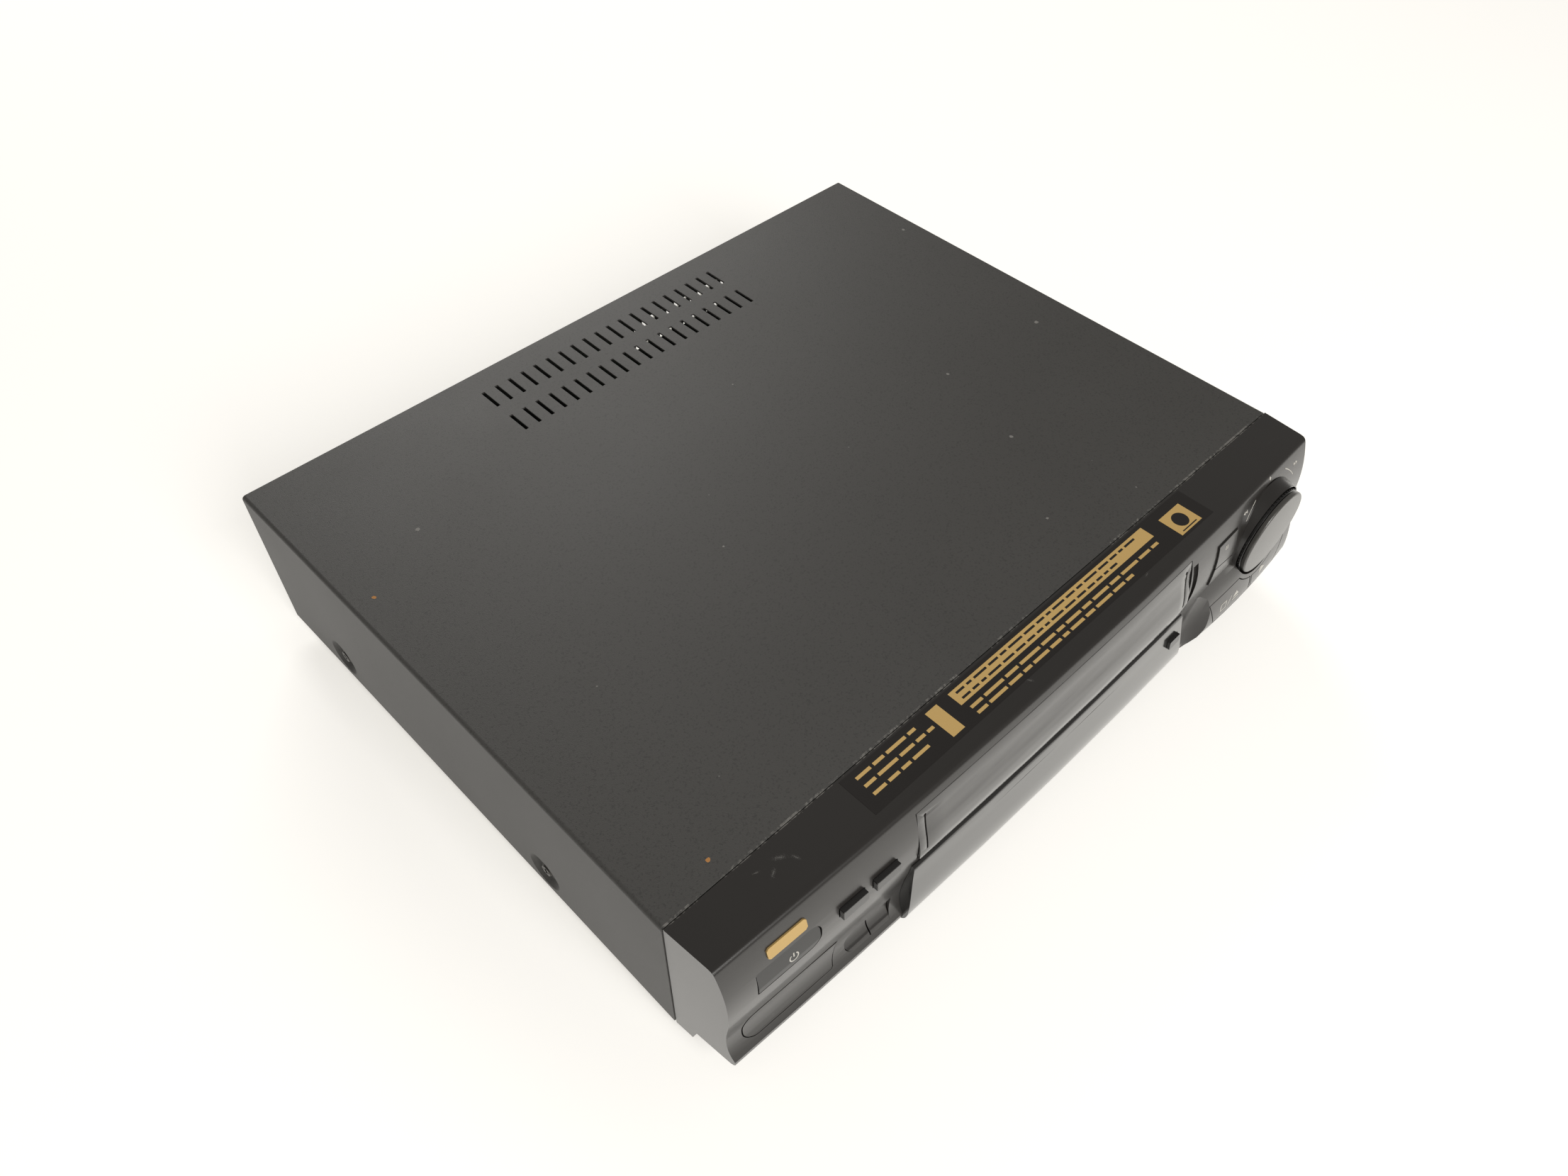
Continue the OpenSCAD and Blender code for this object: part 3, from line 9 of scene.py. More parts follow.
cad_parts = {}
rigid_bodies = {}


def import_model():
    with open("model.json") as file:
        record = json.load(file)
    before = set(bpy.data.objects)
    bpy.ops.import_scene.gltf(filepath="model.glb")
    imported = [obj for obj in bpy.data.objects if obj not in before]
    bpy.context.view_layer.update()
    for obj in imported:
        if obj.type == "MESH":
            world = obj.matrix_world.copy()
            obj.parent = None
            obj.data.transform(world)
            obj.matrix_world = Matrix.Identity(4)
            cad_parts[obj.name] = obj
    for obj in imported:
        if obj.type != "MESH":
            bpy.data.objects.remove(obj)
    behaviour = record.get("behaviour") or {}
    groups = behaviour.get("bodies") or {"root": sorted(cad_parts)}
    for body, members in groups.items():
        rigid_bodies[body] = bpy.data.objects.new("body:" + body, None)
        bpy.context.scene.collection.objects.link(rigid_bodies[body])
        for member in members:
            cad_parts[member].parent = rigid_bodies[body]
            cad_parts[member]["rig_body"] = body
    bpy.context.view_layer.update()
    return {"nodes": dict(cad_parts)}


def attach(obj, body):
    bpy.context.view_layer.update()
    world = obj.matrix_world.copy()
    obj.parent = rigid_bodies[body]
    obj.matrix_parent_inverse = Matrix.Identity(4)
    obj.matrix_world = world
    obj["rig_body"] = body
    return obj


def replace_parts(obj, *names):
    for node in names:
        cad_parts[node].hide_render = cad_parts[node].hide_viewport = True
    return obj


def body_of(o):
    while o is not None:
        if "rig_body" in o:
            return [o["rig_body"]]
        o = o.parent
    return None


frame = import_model()

MM = 0.001
SEAM_Y = -128.0       # the seam between front panel and cover, in mm from the middle of the part
TOP_Z = 94.0          # top of the case above the floor, in mm
DIAL = (161.5, 63.0)  # axis of the dial, across and up, in mm


def place(x, y, z):
    """A point given across, back from the seam and up, in mm."""
    return Vector((x, y + SEAM_Y, z)) * MM


# Shader helpers

def add(tree, kind, sockets=None, **settings):
    """A node with its settings made, and its sockets linked or filled in."""
    node = tree.nodes.new(kind)
    for key, value in settings.items():
        setattr(node, key, value)
    for key, value in (sockets or {}).items():
        socket = node.inputs[key]
        if isinstance(value, bpy.types.NodeSocket):
            tree.links.new(value, socket)
        else:
            socket.default_value = value
    return node


def math_node(tree, operation, a, b=0.0, c=0.0, clamp=False):
    sockets = {0: a, 1: b, 2: c}
    return add(tree, "ShaderNodeMath", sockets, operation=operation, use_clamp=clamp).outputs[0]


def noise(tree, vector, scale, detail, roughness=0.5):
    return add(tree, "ShaderNodeTexNoise",
        {"Vector": vector, "Scale": scale, "Detail": detail, "Roughness": roughness}).outputs[0]


def mixed(tree, a, a_share, b, b_share):
    """The two values added, each times its share."""
    return math_node(tree, "ADD", math_node(tree, "MULTIPLY", a, a_share),
        math_node(tree, "MULTIPLY", b, b_share))


def steep(tree, level, limit, gain):
    """0 where level is under limit, rising by gain to 1 above it."""
    return math_node(tree, "MULTIPLY", math_node(tree, "SUBTRACT", level, limit), gain, clamp=True)


def blend_colour(tree, amount, a, b):
    node = add(tree, "ShaderNodeMix", {0: amount}, data_type="RGBA")
    for socket, value in ((node.inputs[6], a), (node.inputs[7], b)):
        if isinstance(value, bpy.types.NodeSocket):
            tree.links.new(value, socket)
        else:
            socket.default_value = (*value, 1.0)
    return node.outputs[2]


def effect(name, inputs, outputs=("Mask",)):
    """An empty shader group that reads a vector and its named inputs: the tree, start and end."""
    tree = bpy.data.node_groups.new(name, "ShaderNodeTree")
    tree.interface.new_socket("Vector", in_out="INPUT", socket_type="NodeSocketVector")
    for label, value in inputs.items():
        kind = "NodeSocketVector" if isinstance(value, tuple) else "NodeSocketFloat"
        tree.interface.new_socket(label, in_out="INPUT", socket_type=kind).default_value = value
    for label in outputs:
        tree.interface.new_socket(label, in_out="OUTPUT", socket_type="NodeSocketFloat")
    return tree, tree.nodes.new("NodeGroupInput").outputs, tree.nodes.new("NodeGroupOutput").inputs


def fine_texture():
    """The pebbled skin of textured paint or spark-eroded plastic, with a slow drift of tone."""
    slow_share, fine_share = 0.7, 0.3
    tree, start, end = effect("fine_texture", {"Grain": 2500.0, "Drift": 12.0}, ("Height", "Tone"))
    fine = noise(tree, start["Vector"], start["Grain"], 3.0)
    slow = noise(tree, start["Vector"], start["Drift"], 4.0)
    tone = math_node(tree, "MULTIPLY_ADD", slow, slow_share,
        math_node(tree, "MULTIPLY", fine, fine_share))
    tree.links.new(fine, end["Height"])
    tree.links.new(tone, end["Tone"])
    return tree


def dust_specks():
    """Sparse pale specks, each cell holding one or none."""
    tree, start, end = effect("dust_specks", {"Scale": 120.0, "Share": 0.1, "Size": 0.06})
    cells = add(tree, "ShaderNodeTexVoronoi", {"Vector": start["Vector"], "Scale": start["Scale"]})
    luck = add(tree, "ShaderNodeSeparateColor", {0: cells.outputs["Color"]}).outputs
    chosen = math_node(tree, "LESS_THAN", luck[0], start["Share"])
    size = math_node(tree, "MULTIPLY", start["Size"], luck[1])
    near = math_node(tree, "LESS_THAN", cells.outputs["Distance"], size)
    tree.links.new(math_node(tree, "MULTIPLY", chosen, near), end["Mask"])
    return tree


def hair_scratches():
    """Thin broken lines along the X axis of the vector it is given."""
    squeeze = (0.03, 1.0, 1.0)    # draws each grain out into a line
    patches = 30.0                # scale of the patches that the lines come in
    line_share, patch_share = 0.8, 0.35
    bare, gain = 0.82, 12.0       # the limit at a share of 0, and how crisp the lines are
    tree, start, end = effect("hair_scratches", {"Fineness": 400.0, "Share": 0.03})
    drawn = add(tree, "ShaderNodeVectorMath", {0: start["Vector"], 1: squeeze},
        operation="MULTIPLY").outputs[0]
    lines = noise(tree, drawn, start["Fineness"], 2.0)
    patch = noise(tree, start["Vector"], patches, 2.0)
    level = mixed(tree, lines, line_share, patch, patch_share)
    limit = math_node(tree, "SUBTRACT", bare, start["Share"])
    tree.links.new(steep(tree, level, limit, gain), end["Mask"])
    return tree


def small_spot():
    """A ragged spot round one point."""
    rags, least = 900.0, 0.5      # scale of the ragged edge, and its smallest share of the radius
    tree, start, end = effect("small_spot", {"Centre": (0.0, 0.0, 0.0), "Radius": 0.001})
    ragged = noise(tree, start["Vector"], rags, 1.0)
    away = add(tree, "ShaderNodeVectorMath", {0: start["Vector"], 1: start["Centre"]},
        operation="DISTANCE").outputs["Value"]
    reach = math_node(tree, "MULTIPLY", start["Radius"], math_node(tree, "ADD", ragged, least))
    tree.links.new(math_node(tree, "LESS_THAN", away, reach), end["Mask"])
    return tree


def scuff_patch():
    """A ragged patch of short scrapes round one point, lying along a direction."""
    narrow = (1.0, 2.6, 2.6)      # how much longer than wide the patch and its scrapes are
    scrapes, raggedness = 1700.0, 0.75
    crowding = 0.22               # how much thicker the scrapes lie in the middle
    limit, gain = 0.67, 14.0
    tree, start, end = effect("scuff_patch",
        {"Centre": (0.0, 0.0, 0.0), "Reach": 0.003, "Turn": 0.0})
    offset = add(tree, "ShaderNodeVectorMath", {0: start["Vector"], 1: start["Centre"]},
        operation="SUBTRACT").outputs[0]
    turned = add(tree, "ShaderNodeVectorRotate", {"Vector": offset, "Angle": start["Turn"]},
        rotation_type="Z_AXIS").outputs[0]
    flat = add(tree, "ShaderNodeVectorMath", {0: turned, 1: narrow},
        operation="MULTIPLY").outputs[0]
    away = add(tree, "ShaderNodeVectorMath", {0: flat}, operation="LENGTH").outputs["Value"]
    near = math_node(tree, "SUBTRACT", 1.0, math_node(tree, "DIVIDE", away, start["Reach"]),
        clamp=True)
    scrape = noise(tree, flat, scrapes, 4.0, raggedness)
    level = math_node(tree, "MULTIPLY_ADD", near, crowding, scrape)
    inside = math_node(tree, "GREATER_THAN", near, 0.0)
    mask = math_node(tree, "MULTIPLY", steep(tree, level, limit, gain), inside)
    tree.links.new(mask, end["Mask"])
    return tree


def seam_wear_and_highlight():
    """Bright flecks along the seam between the cover and the front panel, at the top: partly worn
    edges, partly a painted highlight where the edge catches the light.
    """
    seam, lowest = (SEAM_Y + 0.1) * MM, (TOP_Z - 1.5) * MM
    fleck_scale, run_scale = 620.0, 45.0
    fleck_share, run_share = 0.6, 0.5
    limit, gain = 0.55, 9.0
    tree, start, end = effect("seam_wear_and_highlight", {"Width": 0.0009})
    part = add(tree, "ShaderNodeSeparateXYZ", {0: start["Vector"]}).outputs
    off = math_node(tree, "ABSOLUTE", math_node(tree, "SUBTRACT", part[1], seam))
    flecks = noise(tree, start["Vector"], fleck_scale, 3.0)
    runs = noise(tree, start["Vector"], run_scale, 1.0)
    level = mixed(tree, flecks, fleck_share, runs, run_share)
    near = math_node(tree, "LESS_THAN", off, start["Width"])
    high = math_node(tree, "GREATER_THAN", part[2], lowest)
    there = math_node(tree, "MULTIPLY", near, high)
    mask = math_node(tree, "MULTIPLY", steep(tree, level, limit, gain), there)
    tree.links.new(mask, end["Mask"])
    return tree


def painted_pit_shade():
    """Painted shade: small dark dots that stand for the shade in the pits between the pebbles of
    textured paint.
    """
    limit, gain = 0.44, 9.0
    tree, start, end = effect("painted_pit_shade", {"Size": 1100.0})
    pits = noise(tree, start["Vector"], start["Size"], 2.0)
    tree.links.new(steep(tree, limit, pits, gain), end["Mask"])
    return tree


FINE_TEXTURE = fine_texture()
SCUFF_PATCH = scuff_patch()
SEAM_WEAR_AND_HIGHLIGHT = seam_wear_and_highlight()
PAINTED_PIT_SHADE = painted_pit_shade()
DUST_SPECKS = dust_specks()
HAIR_SCRATCHES = hair_scratches()
SMALL_SPOT = small_spot()


class Finish:
    """A material under construction: its tree, its shader and its coordinates."""

    BUMP_HEIGHT = 0.0002

    def __init__(self, name, colour, roughness, metallic=0.0, coat=0.0, coat_roughness=0.1):
        self.material = bpy.data.materials.new(name)
        self.material.use_nodes = True
        self.tree = self.material.node_tree
        self.shader = self.tree.nodes["Principled BSDF"]
        self.shader.inputs["Metallic"].default_value = metallic
        self.shader.inputs["Coat Weight"].default_value = coat
        self.shader.inputs["Coat Roughness"].default_value = coat_roughness
        self.coords = add(self.tree, "ShaderNodeTexCoord").outputs["Object"]
        self.colour = colour
        self.roughness = roughness

    def group(self, tree, **sockets):
        """The outputs of an effect, read at this material's coordinates."""
        node = add(self.tree, "ShaderNodeGroup", node_tree=tree)
        self.tree.links.new(self.coords, node.inputs["Vector"])
        for key, value in sockets.items():
            node.inputs[key.capitalize()].default_value = value
        return node.outputs

    def grain(self, size_mm, depth, colour_drift, rough_drift=0.08, drift=12.0):
        """Fine bumps of the given size, with tone and gloss drifting slowly over the surface."""
        texture = self.group(FINE_TEXTURE, grain=1.0 / (size_mm * MM), drift=drift)
        lighter = tuple(min(1.0, c * (1 + colour_drift)) for c in self.colour)
        darker = tuple(c * (1 - colour_drift) for c in self.colour)
        self.colour = blend_colour(self.tree, texture["Tone"], darker, lighter)
        self.roughness = math_node(self.tree, "MULTIPLY_ADD", texture["Tone"], 2 * rough_drift,
            self.roughness - rough_drift)
        bump = add(self.tree, "ShaderNodeBump", {"Strength": depth, "Distance": self.BUMP_HEIGHT,
            "Height": texture["Height"]})
        self.tree.links.new(bump.outputs[0], self.shader.inputs["Normal"])
        return self

    def mark(self, mask, strength, colour, roughness=None):
        """Paints colour, and gloss, where the mask is 1, as thickly as strength says."""
        amount = math_node(self.tree, "MULTIPLY", mask, strength)
        self.colour = blend_colour(self.tree, amount, self.colour, colour)
        if roughness is not None:
            mix = add(self.tree, "ShaderNodeMix", {0: amount, 2: self.roughness, 3: roughness})
            self.roughness = mix.outputs[0]
        return self

    def wear(self, tree, strength, colour, roughness=None, **sockets):
        """Paints where the mask of an effect is 1."""
        return self.mark(self.group(tree, **sockets)["Mask"], strength, colour, roughness)

    def done(self):
        """The material, with its last colour and gloss joined to the shader."""
        for label, value in (("Base Color", self.colour), ("Roughness", self.roughness)):
            self.tree.links.new(value, self.shader.inputs[label])
        return self.material


# Marks on the cover, in mm: across, back from the seam, radius
PALE_SPOTS = ((189.1, 234.8, 0.9), (175.0, 125.3, 1.1), (106.4, 129.8, 0.8), (92.2, 76.7, 0.9),
    (-152.8, 223.4, 1.0), (60.0, 30.0, 0.6), (-60.0, 120.0, 0.5), (20.0, 200.0, 0.5))
RUST_SPOTS = ((-189.0, 201.8, 1.0), (-169.9, 8.9, 0.9))
# Scuffs on the flat of the front panel: across, back from the seam and reach in mm, turn in radians
SCUFFS = ((-150.5, -8.5, 5.0, 0.5), (-156.5, -11.5, 4.0, -0.6), (-146.0, -12.5, 3.5, 1.1),
    (-161.0, -7.0, 2.6, 0.2), (-20.0, -22.0, 3.4, 0.9), (64.0, -22.0, 2.6, -0.4))

# Colours of wear and of painted light (shade in the pits of the paint, a highlight along the seam),
# and how rough the wear leaves the surface
PIT_SHADE_COLOUR = (0.026, 0.025, 0.0235)
PALE = (0.30, 0.29, 0.27)
RUST = (0.42, 0.19, 0.05)
COVER_DUST, COVER_SCRATCH, COVER_WEAR_AND_HIGHLIGHT = (0.32, 0.31, 0.29), (0.14, 0.135, 0.13), (0.26, 0.25, 0.23)
PANEL_SCRATCH, PANEL_WEAR_AND_HIGHLIGHT, SCRAPED = (0.12, 0.115, 0.11), (0.20, 0.19, 0.175), (0.17, 0.165, 0.155)
DUSTY, SCRAPED_ROUGH, RUSTY, WORN = 0.8, 0.75, 0.7, 0.6


def cover_paint():
    """Textured paint, with painted shade in its pits, dust, scratches, pale and rusty spots and a
    worn seam with a painted edge highlight.
    """
    paint = Finish("cover_paint", (0.054, 0.052, 0.0485), 0.50)
    paint.grain(size_mm=0.45, depth=0.45, colour_drift=0.14)
    # Painted shade: dark dots standing for the shade in the pits of the paint
    paint.wear(PAINTED_PIT_SHADE, 0.55, PIT_SHADE_COLOUR, size=1100.0)
    paint.wear(DUST_SPECKS, 0.35, COVER_DUST, DUSTY, scale=140.0, share=0.05, size=0.07)
    paint.wear(HAIR_SCRATCHES, 0.25, COVER_SCRATCH, fineness=500.0, share=0.01)
    for spots, strength, colour, roughness in ((PALE_SPOTS, 0.6, PALE, DUSTY),
            (RUST_SPOTS, 1.0, RUST, RUSTY)):
        for x, y, radius in spots:
            paint.wear(SMALL_SPOT, strength, colour, roughness, centre=place(x, y, TOP_Z),
                radius=radius * MM)
    # Worn seam, with a painted highlight along its edge
    paint.wear(SEAM_WEAR_AND_HIGHLIGHT, 0.5, COVER_WEAR_AND_HIGHLIGHT, WORN, width=0.0009)
    return paint.done()


def moulded(name, colour, roughness, coat, depth, scuffed):
    """Glossy moulded plastic with dust on it, and scratches, scuffs and a worn seam with a painted
    edge highlight if scuffed.
    """
    skin = Finish(name, colour, roughness, coat=coat, coat_roughness=0.14)
    skin.grain(size_mm=0.22, depth=depth, colour_drift=0.10, rough_drift=0.05)
    skin.wear(DUST_SPECKS, 0.3, PALE, DUSTY, scale=160.0, share=0.05, size=0.06)
    if scuffed:
        skin.wear(HAIR_SCRATCHES, 0.25, PANEL_SCRATCH, fineness=600.0, share=0.0)
        for x, y, reach, turn in SCUFFS:
            skin.wear(SCUFF_PATCH, 0.8, SCRAPED, SCRAPED_ROUGH, centre=place(x, y, TOP_Z),
                reach=reach * MM, turn=turn)
        # Worn seam, with a painted highlight along its edge
        skin.wear(SEAM_WEAR_AND_HIGHLIGHT, 0.6, PANEL_WEAR_AND_HIGHLIGHT, WORN, width=0.0008)
    return skin.done()


def plain(name, colour, roughness, size_mm, depth, drift=0.12, coat=0.0):
    """One colour with a fine grain."""
    return Finish(name, colour, roughness, coat=coat).grain(size_mm, depth, drift).done()


def brushed(name, colour, roughness):
    """Sheet metal with the drawn lines of the mill, brighter and glossier than the rest."""
    brighter, glossier = 1.25, 0.7
    metal = Finish(name, colour, roughness, metallic=1.0)
    metal.grain(size_mm=0.8, depth=0.1, colour_drift=0.08, drift=30.0)
    metal.wear(HAIR_SCRATCHES, 0.35, tuple(c * brighter for c in colour), roughness * glossier,
        fineness=900.0, share=0.12)
    return metal.done()


def laminate():
    """Green board with its copper tracks under the varnish."""
    track = (0.11, 0.20, 0.06)
    black, white = (0, 0, 0, 1), (1, 1, 1, 1)
    board = Finish("board_laminate", (0.035, 0.11, 0.045), 0.35, coat=0.4)
    board.grain(size_mm=0.6, depth=0.1, colour_drift=0.15)
    tracks = add(board.tree, "ShaderNodeTexBrick", {"Vector": board.coords, "Scale": 60.0,
        "Mortar Size": 0.012, "Color1": black, "Color2": black, "Mortar": white})
    return board.mark(tracks.outputs["Fac"], 0.6, track).done()


# Plastics and the like: name, colour, roughness, size of the grain in mm, its depth.
# The metals have a name, a colour and a roughness.
MATERIALS = {
    "cover": cover_paint(),
    "panel": moulded("panel_plastic", (0.018, 0.0160, 0.0143), 0.31, 0.4, 0.10, scuffed=True),
    "flap": moulded("flap_plastic", (0.018, 0.0165, 0.0150), 0.26, 0.9, 0.02, scuffed=False),
    "button": plain("button_plastic", (0.009, 0.0085, 0.008), 0.38, 0.25, 0.10, coat=0.1),
    "bar": plain("bar_button_plastic", (0.009, 0.0085, 0.008), 0.26, 0.3, 0.10, coat=0.5),
    "dial": plain("dial_face_plastic", (0.060, 0.0575, 0.052), 0.34, 0.2, 0.10, coat=0.3),
    "ring": plain("dial_ring_plastic", (0.010, 0.0095, 0.009), 0.26, 0.25, 0.08, coat=0.3),
    "lens": plain("smoked_lens", (0.014, 0.0132, 0.0122), 0.18, 0.5, 0.03, coat=0.9),
    "tube": plain("display_tube", (0.012, 0.03, 0.028), 0.12, 0.6, 0.02),
    "zinc": brushed("zinc_sheet", (0.50, 0.50, 0.47), 0.42),
    "steel": brushed("bright_steel", (0.60, 0.60, 0.61), 0.28),
    "alloy": brushed("machined_alloy", (0.70, 0.70, 0.71), 0.25),
    # Painted shade: alloy darkened nearly to black, for the heat sink that lies in shade inside the
    # case
    "shade_black_alloy": brushed("alloy_darkened_as_shade", (0.045, 0.045, 0.047), 0.5),
    "screw": brushed("blackened_steel", (0.07, 0.067, 0.062), 0.40),
    "foot": plain("foot_rubber", (0.014, 0.014, 0.014), 0.75, 0.5, 0.4),
    "board": laminate(),
    "package": plain("component_black", (0.022, 0.022, 0.026), 0.45, 0.3, 0.2),
    "winding": plain("winding_tape", (0.30, 0.20, 0.07), 0.45, 0.8, 0.4),
    "socket": plain("socket_black", (0.012, 0.012, 0.012), 0.42, 0.3, 0.2),
    "nylon": plain("natural_nylon", (0.70, 0.67, 0.58), 0.45, 0.4, 0.1, drift=0.06),
    "motor": brushed("motor_can", (0.44, 0.45, 0.46), 0.38),
    "belt": plain("belt_rubber", (0.013, 0.013, 0.013), 0.6, 0.3, 0.3),
    "gold": plain("gold_print", (0.56, 0.37, 0.13), 0.42, 0.25, 0.2, drift=0.10),
    "label": plain("label_film", (0.013, 0.0110, 0.0098), 0.30, 0.9, 0.03, drift=0.05),
    "print": plain("pale_print", (0.58, 0.56, 0.51), 0.5, 0.2, 0.1, drift=0.10),
}

NODE_FINISH = {
    "cover": ["top_cover"],
    "flap": ["cassette_flap"],
    "panel": ["front_panel", "twin_button_left", "twin_button_right", "set_button",
        "pause_button", "record_button", "stop_button", "play_button"],
    "button": ["power_button"],
    "bar": ["bar_button_left", "bar_button_right", "display_button"],
    "dial": ["dial_cap"],
    "ring": ["shuttle_ring"],
    "lens": ["display_lens"],
    "tube": ["display_module"],
    "zinc": ["base_plate", "rear_panel", "deck_chassis", "loader_side_left", "loader_side_right",
        "loader_bridge", "tuner_box"],
    "screw": ["case_screws"],
    # The heat sink is alloy, shown nearly black as painted shade so that it stays dark through the
    # vents
    "shade_black_alloy": ["heat_sink"],
    "steel": ["flap_spring", "cassette_carrier", "capstan_rotor", "pinch_arm", "idler_arm",
        "supply_guide", "takeup_guide", "tension_arm"],
    "alloy": ["drum_base", "drum_upper"],
    "foot": ["feet"],
    "board": ["front_board", "main_board"],
    "package": ["board_parts"],
    "winding": ["power_transformer"],
    "socket": ["scart_sockets", "mains_inlet"],
    "nylon": ["loader_shaft", "motor_pinion", "slider_left", "slider_right", "supply_reel",
        "takeup_reel", "clutch_pulley", "mode_gear"],
    "motor": ["loader_motor", "capstan_stator", "tape_heads"],
    "belt": ["pinch_roller", "idler_wheel", "reel_belt"],
}
FINISH = {name: key for key, names in NODE_FINISH.items() for name in names}
for name, key in FINISH.items():
    materials = frame["nodes"][name].data.materials
    materials.clear()
    materials.append(MATERIALS[key])


# Rounded copies of the moulded and folded pieces

def linked(name, data):
    """An object for a mesh, lamp or camera, placed in the scene."""
    made = bpy.data.objects.new(name, data)
    bpy.context.scene.collection.objects.link(made)
    return made


def finished_mesh(work, name):
    """The mesh that an object has after its modifiers, under a name. The object goes."""
    graph = bpy.context.evaluated_depsgraph_get()
    made = bpy.data.meshes.new_from_object(work.evaluated_get(graph))
    made.name = name
    bpy.data.objects.remove(work)
    return made


def mesh_piece(name, mesh, body, finish):
    """A visible piece that rides with a body."""
    piece = linked(name, mesh)
    mesh.materials.clear()
    mesh.materials.append(MATERIALS[finish])
    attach(piece, body)
    return piece


def belly(shape, top=82.0, foot=59.6, reach=3.6):
    """The flap's face made a smooth curve, whose lower half swells to meet the lens.

    The swelling starts at the height top and is reach mm at the height foot.
    """
    searched, sample = (50.0, 95.0), 0.5  # heights between which the face is felt, and the step
    window = 3.5                          # its curve is averaged so far up and down
    row, column = 1.3, 5.0                # rows and columns of points lie no further apart
    slack, on_the_cut = 0.01, 0.000001    # what counts as the same height, and as on the cut
    pins, fade = 86.0, 4.0                # evening starts at the height pins, full fade mm lower
    faces = BVHTree.FromBMesh(shape)

    def face_at(z):
        """How far back the face is at a height, or None where there is no face."""
        hit = faces.ray_cast(Vector((0.0, -1.0, z * MM)), Vector((0.0, 1.0, 0.0)))[0]
        return None if hit is None else hit.y / MM

    low, high = (int(z / sample) for z in searched)
    felt = {sample * i: face_at(sample * i) for i in range(low, high)}
    profile = {z: y for z, y in felt.items() if y is not None}
    lowest, highest = min(profile), max(profile)

    def evened(z):
        """How far the averaged curve lies behind the face at a height."""
        z = min(highest, max(lowest, z))
        each_way = min(window, z - lowest, highest - z)
        near = [y for height, y in profile.items() if abs(height - z) <= each_way + slack]
        return (sum(near) / len(near) - face_at(z)) if len(near) > 2 else 0.0

    for axis, widest in ((2, row), (0, column)):
        lines = sorted({round(vertex.co[axis] / MM, 1) for vertex in shape.verts})
        for low, high in zip(lines, lines[1:]):
            parts = int((high - low) / widest) + 1
            for part in range(1, parts):
                cut, across = Vector((0.0, 0.0, 0.0)), Vector((0.0, 0.0, 0.0))
                cut[axis] = (low + (high - low) * part / parts) * MM
                across[axis] = 1.0
                everything = shape.verts[:] + shape.edges[:] + shape.faces[:]
                bmesh.ops.bisect_plane(shape, geom=everything, plane_co=cut, plane_no=across,
                    dist=on_the_cut)
    for vertex in shape.verts:
        z = vertex.co.z / MM
        share = min(1.0, max(0.0, (top - z) / (top - foot)))
        swell = reach * share * share * (3 - 2 * share)
        below_pins = min(1.0, max(0.0, (pins - z) / fade))
        vertex.co.y += (evened(z) * below_pins - swell) * MM


RESHAPED = {"cassette_flap": belly}


def softened(node, edge_mm):
    """A copy of a CAD node with its edges rounded off and its curves shaded smooth."""
    weld = 0.00001                                     # points nearer than this are one
    flat, sharp = math.radians(0.4), math.radians(32)  # lesser bends are levelled, greater rounded
    old_shading = ("custom_normal", "sharp_face", "sharp_edge")
    mesh = frame["nodes"][node].data.copy()
    shape = bmesh.new()
    shape.from_mesh(mesh)
    bmesh.ops.remove_doubles(shape, verts=shape.verts, dist=weld)
    bmesh.ops.dissolve_limit(shape, angle_limit=flat, verts=shape.verts, edges=shape.edges)
    if node in RESHAPED:
        RESHAPED[node](shape)
    shape.to_mesh(mesh)
    shape.free()
    for name in [a.name for a in mesh.attributes if a.name in old_shading]:
        mesh.attributes.remove(mesh.attributes[name])
    mesh.shade_smooth()

    work = linked(node + "_work", mesh)
    bevel = work.modifiers.new("edges", "BEVEL")
    bevel.width = edge_mm * MM
    bevel.segments = 2
    bevel.limit_method = "ANGLE"
    bevel.angle_limit = sharp
    if node not in RESHAPED:
        work.modifiers.new("even", "WEIGHTED_NORMAL").keep_sharp = True
    return finished_mesh(work, node + "_soft")


def drawn_in(mesh, gap):
    """Makes a key smaller by gap mm on each side, across and up, round its own middle."""
    for axis in (0, 2):
        places = [vertex.co[axis] for vertex in mesh.vertices]
        middle = (min(places) + max(places)) / 2
        share = 1 - 2 * gap * MM / (max(places) - min(places))
        for vertex in mesh.vertices:
            vertex.co[axis] = middle + (vertex.co[axis] - middle) * share


# The radius, in mm, of the edges of each moulded or folded piece that shows them
EDGES = {"top_cover": 0.4, "front_panel": 0.35, "cassette_flap": 0.3, "display_lens": 0.35,
    "power_button": 0.4, "bar_button_left": 0.3, "bar_button_right": 0.3,
    "twin_button_left": 0.2, "twin_button_right": 0.2, "set_button": 0.2, "display_button": 0.15,
    "pause_button": 0.2, "record_button": 0.2, "stop_button": 0.2, "play_button": 0.2,
    "dial_cap": 0.25}
# How much smaller than its hole each flush key is shown, in mm a side, so that a dark line
# runs round it
SHRUNK = {"power_button": 0.2, "twin_button_left": 0.15, "twin_button_right": 0.15,
    "set_button": 0.2, "pause_button": 0.2, "record_button": 0.2, "stop_button": 0.25,
    "play_button": 0.25}
for node, edge in EDGES.items():
    body = body_of(frame["nodes"][node])[0]
    mesh = softened(node, edge)
    if node in SHRUNK:
        drawn_in(mesh, SHRUNK[node])
    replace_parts(mesh_piece(node + "_shown", mesh, body, FINISH[node]), node)


# Outlines of prints, in mm: across and up on the front, across and back from the seam on top

def stroke(a, b, width):
    """A straight stroke as an outline, from a to b."""
    a, b = Vector(a), Vector(b)
    along = b - a
    side = Vector((-along.y, along.x)).normalized() * width / 2
    return [tuple(corner) for corner in (a + side, a - side, b - side, b + side)]


